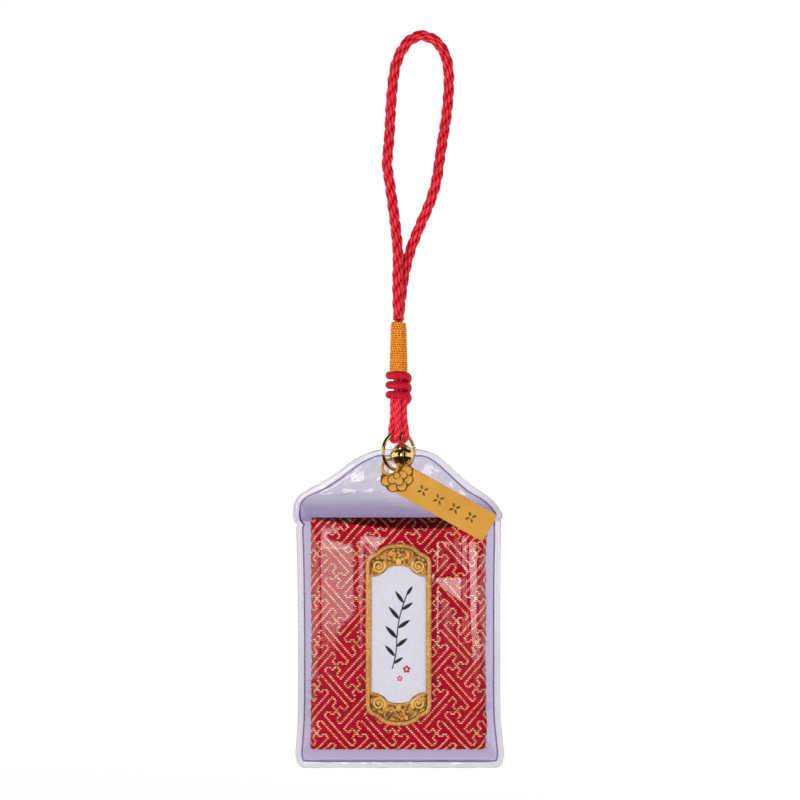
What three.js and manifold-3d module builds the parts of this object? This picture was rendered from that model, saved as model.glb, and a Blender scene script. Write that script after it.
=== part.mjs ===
// Hanging amulet pouch: a brocade-wrapped packet with a metal plaque, in a clear sleeve that hangs from
// a jump ring on a bound cord loop, with a small bell and a stamped metal tag on the same ring.
// Millimetres, +Z up, the front faces -Y. The origin is the hang point, inside the top of the cord loop.

import * as THREE from 'three';
import { mergeVertices } from 'three/addons/utils/BufferGeometryUtils.js';
import Module from 'manifold-3d';

const wasm = await Module();
wasm.setup();

// Driving dimensions: shared clearances
const SEAT_GAP = 0.3; // between pieces that touch
const LAYER_GAP = 0.1; // between flat layers that lie on each other
const AXIS_X = -5.6; // upright centre line of binding, ring and pouch, left of the hang point

// Driving dimensions: cord and binding
const CORD_D = 2.5;
const LEG_GAP = 0.3; // between the loop's two legs, one behind the other at the binding
const BINDING_TOP_Z = -70; // below the hang point
const BUNDLE_TOP_HALF_X = 1.0;
const BUNDLE_LOW_HALF_X = 1.55;
const BUNDLE_SQUEEZE = 0.35; // how far the wrap presses each leg in
const BUNDLE_NECK_R = 1.25;
const WRAP_TURNS = 11;
const THREAD_D = 0.5;
const THREAD_GAP = 0.46;
const COIL_TURNS = 3;
const COIL_CORD_D = 1.95;
const COIL_GAP = 0.47;
const TAIL_CORD_D = 1.7;
const TAIL_LENGTH = 7.1; // from the coil to the ring wire
const TAIL_LEG_GAP = 0.4; // between the tails' four legs below the coil
const TAIL_BIGHT_ROOM = 0.5; // between the ring's wire and the bend of each tail round it
const TAIL_EYE_ROOM = 1.1; // between each tail and the bell's eye on the ring

// Driving dimensions: jump ring
const RING_WIRE_D = 1.0;
const RING_MID_R = 4.7;
const RING_YAW = THREE.MathUtils.degToRad(35); // left half in front of the sleeve, right half behind it
const RING_CUT = 0.3;
const RING_CUT_AT = THREE.MathUtils.degToRad(76); // round from the top of the ring

// Driving dimensions: bell
const BELL_R = 2.9;
const BELL_WALL = 0.35;
const BELL_SLIT = 0.55;
const BELL_SLIT_TOP = 1.0; // below the seam of the half shells
const BELL_WIRE_D = 0.6;
const BELL_EYE_ROOM = 0.5; // between the eye's wire and the ring's wire
const BELL_EYE_LENGTH = 4.3; // from the bell's crown to the middle of the ring's wire
const BELL_TURN = THREE.MathUtils.degToRad(11); // its swing axis is turned this far from X
const BELL_CAP_R = 1.3;
const BELL_CAP_T = 0.4;
const PELLET_R = 0.9;

// Driving dimensions: tag
const TAG_T = 0.55;
const TAG_HOLE_ROOM = 1.1; // between the hole's edge and the ring's wire
const TAG_EAR_W = 0.7; // metal round the hole
const TAG_FORWARD = 1.5; // from the sleeve's middle plane to the tag's hole
const TAG_DIP = THREE.MathUtils.degToRad(29); // below level, in the front view
const TAG_SLOPE_X = -0.10;
const TAG_SLOPE_Z = 0.26;
const TAG_AXIS_OFFSET = 1.1; // the hole sits this far above the tag's own centre line
const TAG_FLOWER_AT = 2.7;
const TAG_FLOWER_R = 4.2;
const TAG_PETALS = 8;
const TAG_PETAL_DEPTH = 0.5;
const TAG_REACH = 29.5; // from the hole to the far end
const TAG_WIDTH = 7.5;
const TAG_CORNER_R = 0.6;

// Driving dimensions: packet
const PACKET_W = 44.1;
const PACKET_H = 57.9;
const PACKET_SIDE_FLAT = 0.6; // flat height between the rounded edges
const PACKET_CORNER_R = 2.4;
const COVER_T = 0.4;
const BACK_PANEL_SEAM = 0.9; // from the back face to the seam of the back panel
const PAD_T = 1.8;
const BOARD_T = 1.2;
const PAPER_T = 0.2;
const PAPER_LEAVES = 3;
const PAPER_W = 26;
const PAPER_H = 44;

// Driving dimensions: plaque
const PLAQUE_W = 16.25;
const PLAQUE_H = 45.2;
const PLAQUE_T = 1.2;
const PLAQUE_RAIL = 1.2;
const PLAQUE_SHOULDER_DROP = 4.3; // from the plaque's end to its corners
const PLAQUE_ARCH_DROP = 2.8; // from the plaque's end to the foot of its arch
const PLAQUE_ARCH_HALF = 5.3;
const PLAQUE_CROWN_HALF = 3.7;
const WINDOW_END = 5.4; // from the plaque's end to the window's end
const WINDOW_LOBE_DROP = 2.7; // from the window's end to its corners
const WINDOW_ARCH_DROP = 1.0; // from the window's end to the foot of its arch
const WINDOW_ARCH_HALF = 3.8;
const WINDOW_CROWN_HALF = 2.1;
const WINDOW_LOBE_HALF = 4.3;
const ROSETTE_R = 2.0;
const ROSETTE_FOOT_R = 1.6;
const ROSETTE_T = 0.35; // above the plaque's face
const ROSETTE_DROP = 5.5; // from the plaque's end to the rosettes' centres
const CARD_T = 0.5;

// Driving dimensions: sleeve
const FILM_T = 0.4;
const SIDE_ROOM = 3.15; // from the packet's side to the sleeve's edge
const PACKET_ABOVE_HEM = 4.4;
const PACKET_BELOW_PEAK = 16.9;
const ROOF_DROP = 17.2; // from the peak to the shoulders
const ROOF_POWER = 1.75;
const ROOF_CROWN_SHARE = 0.2;
const PEAK_HALF = 3.2;
const PEAK_ABOVE_WIRE = 5.1; // from the ring wire in the hole up to the peak
const SHOULDER_OUT = 0.9; // past the sides below
const HEM_OUT = 0.7;
const HEM_FLARE = 12;
const HEM_CORNER_R = 2.0;
const RIM_W = 1.5;
const NOTCH_DEPTH = 0.8;
const NOTCH_H = 0.7;
const HOLE_ROOM = 2.0; // between the hole's edge and the ring's wire
const HOLE_BELOW_WIRE = 0.7;
const MOUTH_LAP = 7.4; // how far the upper back flap laps over the lower back panel
const LAP_RISE = 0.9; // over which the flap climbs onto the panel
const SIDE_BULGE_W = 4.0;
const HEM_BULGE_W = 4.5;
const TOP_BULGE_W = 6.7;
const TOP_BULGE_LEAD = 1.0; // the film is at full depth this far above the packet
const PLAQUE_BULGE_W = 7.0;

// Sizes that follow
const legOffsetY = (CORD_D + LEG_GAP) / 2;
const bundleHalfY = legOffsetY + CORD_D / 2 - BUNDLE_SQUEEZE;
const wrapPitch = THREAD_D + THREAD_GAP;
const coilPitch = COIL_CORD_D + COIL_GAP;
const tailTopSpread = (TAIL_CORD_D + TAIL_LEG_GAP) / 2;
const tailSpread = (TAIL_CORD_D + BELL_WIRE_D) / 2 + TAIL_EYE_ROOM;
const slipT = PAPER_LEAVES * (PAPER_T + LAYER_GAP) - LAYER_GAP;
const packetT = 2 * COVER_T + PAD_T + BOARD_T + slipT + 4 * LAYER_GAP;
const packetEdgeR = (packetT - PACKET_SIDE_FLAT) / 2;
const pocketHalf = packetT / 2 + SEAT_GAP;
const waistHalf = PACKET_W / 2 + SIDE_ROOM;
const shoulderHalf = waistHalf + SHOULDER_OUT;
const hemHalf = waistHalf + HEM_OUT;
const sleeveH = PACKET_BELOW_PEAK + PACKET_H + PACKET_ABOVE_HEM;

// Materials
const finish = (color, roughness, metalness = 0) => (
  new THREE.MeshStandardMaterial({ color, roughness, metalness })
);
const redCord = finish(0xc51a30, 0.7);
const darkCord = finish(0xa01228, 0.65);
const goldThread = finish(0xdb8c2c, 0.55);
const goldMetal = finish(0xe0a53c, 0.28, 1);
const clearFilm = finish(0xcfc9de, 0.12);
clearFilm.transparent = true;
clearFilm.opacity = 0.35;
const brocade = finish(0xb8142c, 0.75);
const paper = finish(0xf2eee6, 0.9);
const board = finish(0xb99a72, 0.9);
const wadding = finish(0xece8e0, 0.95);

const part = new THREE.Group();

function place(name, geometry, material, parent = part) {
  const mesh = new THREE.Mesh(geometry, material);
  mesh.name = name;
  parent.add(mesh);
  return mesh;
}

// Solid helpers

function weld(geometry) {
  const bare = geometry.clone();
  for (const key of Object.keys(bare.attributes)) {
    if (key !== 'position') bare.deleteAttribute(key);
  }
  return mergeVertices(bare, 1e-5);
}

function solidOf(geometry) {
  const welded = weld(geometry);
  return new wasm.Manifold(new wasm.Mesh({
    numProp: 3,
    vertProperties: new Float32Array(welded.attributes.position.array),
    triVerts: new Uint32Array(welded.index.array),
  }));
}

function geometryOf(solid) {
  const mesh = solid.getMesh();
  const geometry = new THREE.BufferGeometry();
  const points = [];
  for (let i = 0; i < mesh.numVert; i += 1) {
    for (let k = 0; k < 3; k += 1) points.push(mesh.vertProperties[i * mesh.numProp + k]);
  }
  geometry.setAttribute('position', new THREE.Float32BufferAttribute(points, 3));
  geometry.setIndex(Array.from(mesh.triVerts));
  return geometry;
}

function boxAt(sizeX, sizeY, sizeZ, x, y, z) {
  return new THREE.BoxGeometry(sizeX, sizeY, sizeZ).translate(x, y, z);
}

// A closed skin over rings of points that all have the same count, capped at both ends
function skinRings(rings) {
  const sides = rings[0].length;
  const points = [];
  const faces = [];
  for (const ring of rings) {
    for (const p of ring) points.push(p.x, p.y, p.z);
  }
  for (let i = 0; i + 1 < rings.length; i += 1) {
    for (let k = 0; k < sides; k += 1) {
      const a = i * sides + k;
      const b = i * sides + (k + 1) % sides;
      faces.push(a, b, b + sides, a, b + sides, a + sides);
    }
  }
  const last = (rings.length - 1) * sides;
  for (let k = 1; k + 1 < sides; k += 1) {
    faces.push(0, k + 1, k, last, last + k, last + k + 1);
  }
  const geometry = new THREE.BufferGeometry();
  geometry.setAttribute('position', new THREE.Float32BufferAttribute(points, 3));
  geometry.setIndex(faces);
  return geometry;
}

// A tube around an upright axis: each ring of the section stands square to the path
function woundTube(path, diameter, sides) {
  const rings = path.map((p, i) => {
    const ahead = path[Math.min(i + 1, path.length - 1)];
    const behind = path[Math.max(i - 1, 0)];
    const along = ahead.clone().sub(behind).normalize();
    const across = new THREE.Vector3(0, 0, 1).cross(along).normalize();
    const up = along.clone().cross(across);
    return Array.from({ length: sides }, (_, k) => {
      const turn = (k / sides) * Math.PI * 2;
      return p.clone()
        .addScaledVector(across, Math.cos(turn) * diameter / 2)
        .addScaledVector(up, Math.sin(turn) * diameter / 2);
    });
  });
  return skinRings(rings);
}

// A tube along a smooth curve
function tube(curve, diameter, sides, steps) {
  const section = new THREE.Shape(Array.from({ length: sides }, (_, k) => {
    const turn = (k / sides) * Math.PI * 2;
    return new THREE.Vector2(Math.cos(turn) * diameter / 2, Math.sin(turn) * diameter / 2);
  }));
  return new THREE.ExtrudeGeometry(section, { steps, extrudePath: curve, bevelEnabled: false });
}

const smoothstep = (t) => {
  const c = THREE.MathUtils.clamp(t, 0, 1);
  return c * c * (3 - 2 * c);
};

// Cord loop, from the binding up the left leg, over the hang point and down the right leg
function makeCordLoop() {
  const end = BINDING_TOP_Z + SEAT_GAP;
  const y = legOffsetY;
  const route = [
    [AXIS_X, -y, end], [-5.75, -y, -66.5], [-5.85, -1.35, -60], [-5.75, -1.1, -53.5], [-6.3, -0.6, -47],
    [-7.1, -0.2, -40.75], [-7.9, 0, -35], [-8.45, 0, -31.1], [-8.2, 0, -27.2], [-7.85, 0, -22.9],
    [-7.6, 0, -17.8], [-7.35, 0, -14], [-6.85, 0, -9.1], [-5.95, 0, -5], [-4.1, 0, -1.35],
    [-2.2, 0, 0.45], [0, 0, CORD_D / 2], [2.5, 0, 0.6], [4.65, 0, -1.1], [6.35, 0, -4.5],
    [6.95, 0, -9.1], [6.8, 0, -14], [6.3, 0, -19], [5.5, 0, -24.2], [4.75, 0.1, -29],
    [3.85, 0.3, -35], [2.1, 0.6, -40.75], [-0.6, 0.9, -47], [-2.8, 1.2, -52.8], [-4.2, y, -58.5],
    [-5.05, y, -64.5], [AXIS_X, y, end],
  ];
  const curve = new THREE.CatmullRomCurve3(route.map((p) => new THREE.Vector3(...p)));
  const sides = 8;
  const steps = 64;
  place('cord_loop', tube(curve, CORD_D, sides, steps), redCord);
}

// Binding: the squeezed legs inside, the thread wrap over them and the three-turn coil below
const wrapLength = WRAP_TURNS * wrapPitch + 2 * THREAD_D;
const wrapBottomZ = BINDING_TOP_Z - wrapLength;
const coilTopZ = wrapBottomZ - COIL_CORD_D / 2;
const coilBottomZ = coilTopZ - COIL_TURNS * coilPitch - COIL_CORD_D / 2;

function bundleHalfX(z) {
  const t = (BINDING_TOP_Z - z) / wrapLength;
  return THREE.MathUtils.lerp(BUNDLE_TOP_HALF_X, BUNDLE_LOW_HALF_X, THREE.MathUtils.clamp(t, 0, 1));
}

function makeBundle() {
  const sides = 16;
  const oval = (z, halfX, halfY) => Array.from({ length: sides }, (_, k) => {
    const turn = (k / sides) * Math.PI * 2;
    return new THREE.Vector3(AXIS_X + halfX * Math.cos(turn), -halfY * Math.sin(turn), z);
  });
  place('cord_bundle', skinRings([
    oval(BINDING_TOP_Z, BUNDLE_TOP_HALF_X, bundleHalfY),
    oval(wrapBottomZ + SEAT_GAP, bundleHalfX(wrapBottomZ), bundleHalfY),
    oval(wrapBottomZ, BUNDLE_NECK_R, BUNDLE_NECK_R),
    oval(coilBottomZ, BUNDLE_NECK_R, BUNDLE_NECK_R),
  ]), redCord);
}

// Points of a winding from its top end, with both ends running straight for one diameter
function windingPath(turns, stepsPerTurn, diameter, pointAt) {
  const count = turns * stepsPerTurn;
  const points = Array.from({ length: count + 1 }, (_, i) => pointAt(i / stepsPerTurn));
  const first = points[0].clone().sub(points[1]).setLength(diameter).add(points[0]);
  const last = points[count].clone().sub(points[count - 1]).setLength(diameter).add(points[count]);
  return [first, ...points, last];
}

// Least clear gap of a winding to itself, between points at least half a turn apart
function leastGap(path, stepsPerTurn, diameter) {
  let least = Infinity;
  for (let i = 0; i < path.length; i += 1) {
    for (let k = i + stepsPerTurn / 2; k < path.length; k += 1) {
      least = Math.min(least, path[i].distanceTo(path[k]) - diameter);
    }
  }
  return least;
}

function makeWrap() {
  const stepsPerTurn = 24;
  const sides = 6;
  const standOff = LAYER_GAP + THREAD_D / 2;
  const path = windingPath(WRAP_TURNS, stepsPerTurn, THREAD_D, (turns) => {
    const angle = Math.PI / 2 + turns * Math.PI * 2;
    const z = BINDING_TOP_Z - THREAD_D - turns * wrapPitch;
    return new THREE.Vector3(
      AXIS_X + (bundleHalfX(z) + standOff) * Math.cos(angle),
      (bundleHalfY + standOff) * Math.sin(angle),
      z,
    );
  });
  console.log('thread_wrap least gap', leastGap(path, stepsPerTurn, THREAD_D).toFixed(3));
  place('thread_wrap', woundTube(path, THREAD_D, sides), goldThread);
}

function makeCoil() {
  const stepsPerTurn = 24;
  const sides = 6;
  const radius = BUNDLE_NECK_R + LAYER_GAP + COIL_CORD_D / 2;
  const path = windingPath(COIL_TURNS, stepsPerTurn, COIL_CORD_D, (turns) => {
    const angle = Math.PI / 2 + turns * Math.PI * 2;
    return new THREE.Vector3(
      AXIS_X + radius * Math.cos(angle),
      radius * Math.sin(angle),
      coilTopZ - turns * coilPitch,
    );
  });
  console.log('knot_coil least gap', leastGap(path, stepsPerTurn, COIL_CORD_D).toFixed(3));
  place('knot_coil', woundTube(path, COIL_CORD_D, sides), darkCord);
}

// Jump ring: its plane is upright and turned, so the wire passes through the sleeve's hole
const ringAcross = new THREE.Vector3(Math.cos(RING_YAW), Math.sin(RING_YAW), 0);
const ringNormal = new THREE.Vector3(Math.sin(RING_YAW), -Math.cos(RING_YAW), 0);
const ringTopZ = coilBottomZ - TAIL_LENGTH;
const ringCentre = new THREE.Vector3(AXIS_X, 0, ringTopZ - RING_MID_R);
const wireInHoleZ = ringTopZ - 2 * RING_MID_R;
const ringSag = RING_MID_R - Math.sqrt(RING_MID_R ** 2 - tailSpread ** 2);

function onRing(angle, radius = RING_MID_R) {
  return ringCentre.clone()
    .addScaledVector(ringAcross, radius * Math.sin(angle))
    .add(new THREE.Vector3(0, 0, radius * Math.cos(angle)));
}

function makeRing() {
  const steps = 40;
  const sides = 8;
  const cutAngle = RING_CUT / RING_MID_R;
  const rings = Array.from({ length: steps + 1 }, (_, i) => {
    const angle = RING_CUT_AT + cutAngle / 2 + (Math.PI * 2 - cutAngle) * i / steps;
    return Array.from({ length: sides }, (_unused, k) => {
      const turn = (k / sides) * Math.PI * 2;
      const p = onRing(angle, RING_MID_R + RING_WIRE_D / 2 * Math.cos(turn));
      return p.addScaledVector(ringNormal, RING_WIRE_D / 2 * Math.sin(turn));
    });
  });
  place('jump_ring', skinRings(rings), goldMetal);
}

// Tails: two bights of cord that come out of the coil and fold under the ring's top wire
function makeTails() {
  const bend = RING_WIRE_D / 2 + TAIL_BIGHT_ROOM + TAIL_CORD_D / 2;
  const bendZ = ringTopZ - ringSag;
  const startZ = coilBottomZ - SEAT_GAP;
  const sides = 8;
  const steps = 22;
  for (const [name, side] of [['tail_left', -1], ['tail_right', 1]]) {
    const at = (across, out, z) => new THREE.Vector3(AXIS_X, 0, z)
      .addScaledVector(ringAcross, side * across)
      .addScaledVector(ringNormal, out);
    const leg = (way) => [
      at(tailTopSpread, way * tailTopSpread, startZ),
      at(tailTopSpread, way * tailTopSpread, startZ - TAIL_CORD_D / 2),
      at((tailTopSpread + tailSpread) / 2, way * (tailTopSpread + bend) / 2, (startZ + bendZ) / 2),
      at(tailSpread, way * bend, bendZ + TAIL_CORD_D / 4),
      at(tailSpread, way * bend * Math.SQRT1_2, bendZ - bend * Math.SQRT1_2),
    ];
    const route = [...leg(1), at(tailSpread, 0, bendZ - bend), ...leg(-1).reverse()];
    place(name, tube(new THREE.CatmullRomCurve3(route), TAIL_CORD_D, sides, steps), redCord);
  }
}

// The tag's hole is on the ring's lower left wire, and its plane slopes down and forward
const tagHole = onRing(Math.PI + Math.asin(TAG_FORWARD / (RING_MID_R * Math.sin(RING_YAW))));
const tagFront = new THREE.Vector3(TAG_SLOPE_X, -1, TAG_SLOPE_Z).normalize();

// Bell: two half shells, a wire eye round the ring's top and a loose pellet
function makeBell() {
  const hinge = new THREE.Vector3(AXIS_X, 0, ringTopZ);
  const swingAxis = new THREE.Vector3(Math.cos(BELL_TURN), Math.sin(BELL_TURN), 0);
  const forward = new THREE.Vector3(Math.sin(BELL_TURN), -Math.cos(BELL_TURN), 0);
  const reach = BELL_R + BELL_EYE_LENGTH;

  // It leans forward by the angle at which it rests on the tag
  const outward = reach * forward.dot(tagFront);
  const downward = -reach * tagFront.z;
  const rest = BELL_R + TAG_T / 2 + SEAT_GAP - hinge.clone().sub(tagHole).dot(tagFront);
  const lean = Math.asin(rest / Math.hypot(outward, downward)) - Math.atan2(downward, outward);
  const centre = hinge.clone().addScaledVector(forward, reach * Math.sin(lean));
  centre.z -= reach * Math.cos(lean);
  const up = hinge.clone().sub(centre).normalize();
  const bell = new THREE.Group();
  bell.position.copy(centre);
  bell.quaternion.setFromRotationMatrix(
    new THREE.Matrix4().makeBasis(swingAxis, up.clone().cross(swingAxis), up),
  );
  part.add(bell);

  const inner = BELL_R - BELL_WALL;
  const capZ = Math.sqrt(BELL_R ** 2 - BELL_CAP_R ** 2);
  const segments = 20;
  const arcPoints = 8;
  const half = (from, to, radius) => Array.from({ length: arcPoints + 1 }, (_, i) => {
    const angle = from + (to - from) * i / arcPoints;
    return new THREE.Vector2(radius * Math.sin(angle), radius * Math.cos(angle));
  });
  const seam = LAYER_GAP / 2;
  const capAngle = Math.asin(BELL_CAP_R / BELL_R);
  const seamOuter = Math.acos(seam / BELL_R);
  const seamInner = Math.acos(seam / inner);
  const upright = (profile) => new THREE.LatheGeometry(profile, segments).rotateX(Math.PI / 2);
  const upperProfile = [
    new THREE.Vector2(0, inner), ...half(0, seamInner, inner).slice(1),
    ...half(seamOuter, capAngle, BELL_R), new THREE.Vector2(0, capZ),
  ];
  place('bell_upper_shell', geometryOf(solidOf(upright(upperProfile))), goldMetal, bell);

  const lowerProfile = [
    new THREE.Vector2(0, -BELL_R), ...half(Math.PI, Math.PI - seamOuter, BELL_R).slice(1),
    ...half(Math.PI - seamInner, Math.PI, inner).slice(0, -1), new THREE.Vector2(0, -inner),
  ];
  const slitLength = 2 * (BELL_R + BELL_WALL);
  const slitDepth = BELL_R - BELL_SLIT_TOP + BELL_WALL;
  const slitZ = -BELL_SLIT_TOP - slitDepth / 2;
  const lower = solidOf(upright(lowerProfile))
    .subtract(solidOf(boxAt(slitLength, BELL_SLIT, slitDepth, 0, 0, slitZ)))
    .subtract(solidOf(boxAt(BELL_SLIT, slitLength, slitDepth, 0, 0, slitZ)));
  place('bell_lower_shell', geometryOf(lower), goldMetal, bell);

  const footZ = capZ + LAYER_GAP;
  const footHalf = BELL_CAP_R - BELL_WIRE_D;
  const eyeHalf = (RING_WIRE_D + BELL_WIRE_D) / 2 + BELL_EYE_ROOM;
  const side = (way) => [
    [footHalf, footZ + BELL_CAP_T / 2],
    [(footHalf + eyeHalf) / 2, footZ + BELL_CAP_T + BELL_WIRE_D],
    [eyeHalf, reach],
    [eyeHalf * Math.SQRT1_2, reach + eyeHalf * Math.SQRT1_2],
  ].map(([y, z]) => new THREE.Vector3(0, way * y, z));
  const eyeRoute = [...side(-1), new THREE.Vector3(0, 0, reach + eyeHalf), ...side(1).reverse()];
  const eyeWire = solidOf(tube(new THREE.CatmullRomCurve3(eyeRoute), BELL_WIRE_D, 6, 26));
  const footR = BELL_CAP_R - LAYER_GAP;
  const foot = new THREE.CylinderGeometry(footR, footR, BELL_CAP_T, segments)
    .rotateX(Math.PI / 2)
    .translate(0, 0, footZ + BELL_CAP_T / 2);
  place('bell_eye', geometryOf(eyeWire.add(solidOf(foot))), goldMetal, bell);

  const pelletZ = PELLET_R + SEAT_GAP - inner;
  const pellet = new THREE.SphereGeometry(PELLET_R, 12, 8).translate(0, 0, pelletZ);
  place('bell_pellet', pellet, goldMetal, bell);
}

// Tag: one stamped plate, a flower head with a hole and a plain bar
function makeTag() {
  const along = new THREE.Vector3(Math.cos(TAG_DIP), 0, -Math.sin(TAG_DIP));
  along.y = TAG_SLOPE_X * along.x + TAG_SLOPE_Z * along.z;
  along.normalize();
  const tag = new THREE.Group();
  tag.position.copy(tagHole);
  tag.quaternion.setFromRotationMatrix(
    new THREE.Matrix4().makeBasis(along, tagFront.clone().cross(along), tagFront),
  );
  part.add(tag);

  const plate = (shape) => solidOf(new THREE.ExtrudeGeometry(shape, {
    depth: TAG_T, bevelEnabled: false, curveSegments: 6,
  }).translate(0, 0, -TAG_T / 2));
  const half = TAG_WIDTH / 2;
  const r = TAG_CORNER_R;
  const bar = new THREE.Shape();
  bar.moveTo(TAG_FLOWER_AT, -half);
  bar.lineTo(TAG_REACH - r, -half);
  bar.quadraticCurveTo(TAG_REACH, -half, TAG_REACH, r - half);
  bar.lineTo(TAG_REACH, half - r);
  bar.quadraticCurveTo(TAG_REACH, half, TAG_REACH - r, half);
  bar.lineTo(TAG_FLOWER_AT, half);
  bar.closePath();
  const petalSteps = 8;
  const rim = Array.from({ length: TAG_PETALS * petalSteps }, (_, i) => {
    const turn = (i / (TAG_PETALS * petalSteps)) * Math.PI * 2;
    const lobe = Math.abs(Math.cos(turn * TAG_PETALS / 2));
    const radius = TAG_FLOWER_R - TAG_PETAL_DEPTH * (1 - Math.sqrt(lobe));
    return new THREE.Vector2(TAG_FLOWER_AT + radius * Math.cos(turn), radius * Math.sin(turn));
  });
  const holeR = RING_WIRE_D / 2 + TAG_HOLE_ROOM;
  const disc = (radius, thickness) => solidOf(
    new THREE.CylinderGeometry(radius, radius, thickness, 24).rotateX(Math.PI / 2),
  );
  const outline = plate(bar).add(plate(new THREE.Shape(rim)));
  const lowered = solidOf(geometryOf(outline).translate(0, -TAG_AXIS_OFFSET, 0));
  const eared = lowered.add(disc(holeR + TAG_EAR_W, TAG_T));
  place('tag_plate', geometryOf(eared.subtract(disc(holeR, TAG_T * 4))), goldMetal, tag);
}

// Sleeve: clear film sheets welded along the rim; depth is measured down from the peak
const peakZ = wireInHoleZ + PEAK_ABOVE_WIRE;
const hemZ = peakZ - sleeveH;
const mouthDepth = ROOF_DROP + NOTCH_H;
const panelTopDepth = mouthDepth - MOUTH_LAP;
const bulgeStart = PACKET_BELOW_PEAK - TOP_BULGE_LEAD - TOP_BULGE_W;
const packetBottomZ = hemZ + PACKET_ABOVE_HEM;
const packetMidZ = packetBottomZ + PACKET_H / 2;

function sleeveHalfWidth(depth) {
  if (depth <= ROOF_DROP) {
    const t = depth / ROOF_DROP;
    const slope = 1 - (1 - t) ** ROOF_POWER;
    const share = THREE.MathUtils.lerp(slope, Math.sqrt(t), ROOF_CROWN_SHARE);
    return PEAK_HALF + (shoulderHalf - PEAK_HALF) * share;
  }
  const below = depth - mouthDepth;
  const above = sleeveH - depth;
  const pullIn = smoothstep(below / HEM_FLARE);
  const flare = smoothstep(1 - above / HEM_FLARE);
  let half = THREE.MathUtils.lerp(shoulderHalf - NOTCH_DEPTH / 2, waistHalf, pullIn);
  half = THREE.MathUtils.lerp(half, hemHalf, flare);
  half -= NOTCH_DEPTH * Math.max(0, 1 - Math.abs(below) / NOTCH_H);
  const corner = Math.max(0, HEM_CORNER_R - above);
  return half - (HEM_CORNER_R - Math.sqrt(HEM_CORNER_R ** 2 - corner ** 2));
}

const round = (t) => Math.sqrt(1 - (1 - THREE.MathUtils.clamp(t, 0, 1)) ** 2);

// How far a sheet stands off the middle plane to go round the packet
function bulge(fromSide, depth) {
  const side = round((fromSide - RIM_W) / SIDE_BULGE_W);
  const hem = round((sleeveH - RIM_W - depth) / HEM_BULGE_W);
  const top = smoothstep((depth - bulgeStart) / TOP_BULGE_W);
  return pocketHalf * side * hem * top;
}

// The front sheet also goes over the plaque
function plaqueBulge(x, depth) {
  const z = peakZ - depth;
  const outX = Math.max(0, Math.abs(x) - PLAQUE_W / 2 - SEAT_GAP);
  const outZ = Math.max(0, Math.abs(z - packetMidZ) - PLAQUE_H / 2 - SEAT_GAP);
  const far = Math.hypot(outX, outZ);
  return (PLAQUE_T + ROSETTE_T + LAYER_GAP) * (1 - smoothstep((far - SEAT_GAP) / PLAQUE_BULGE_W));
}

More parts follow.
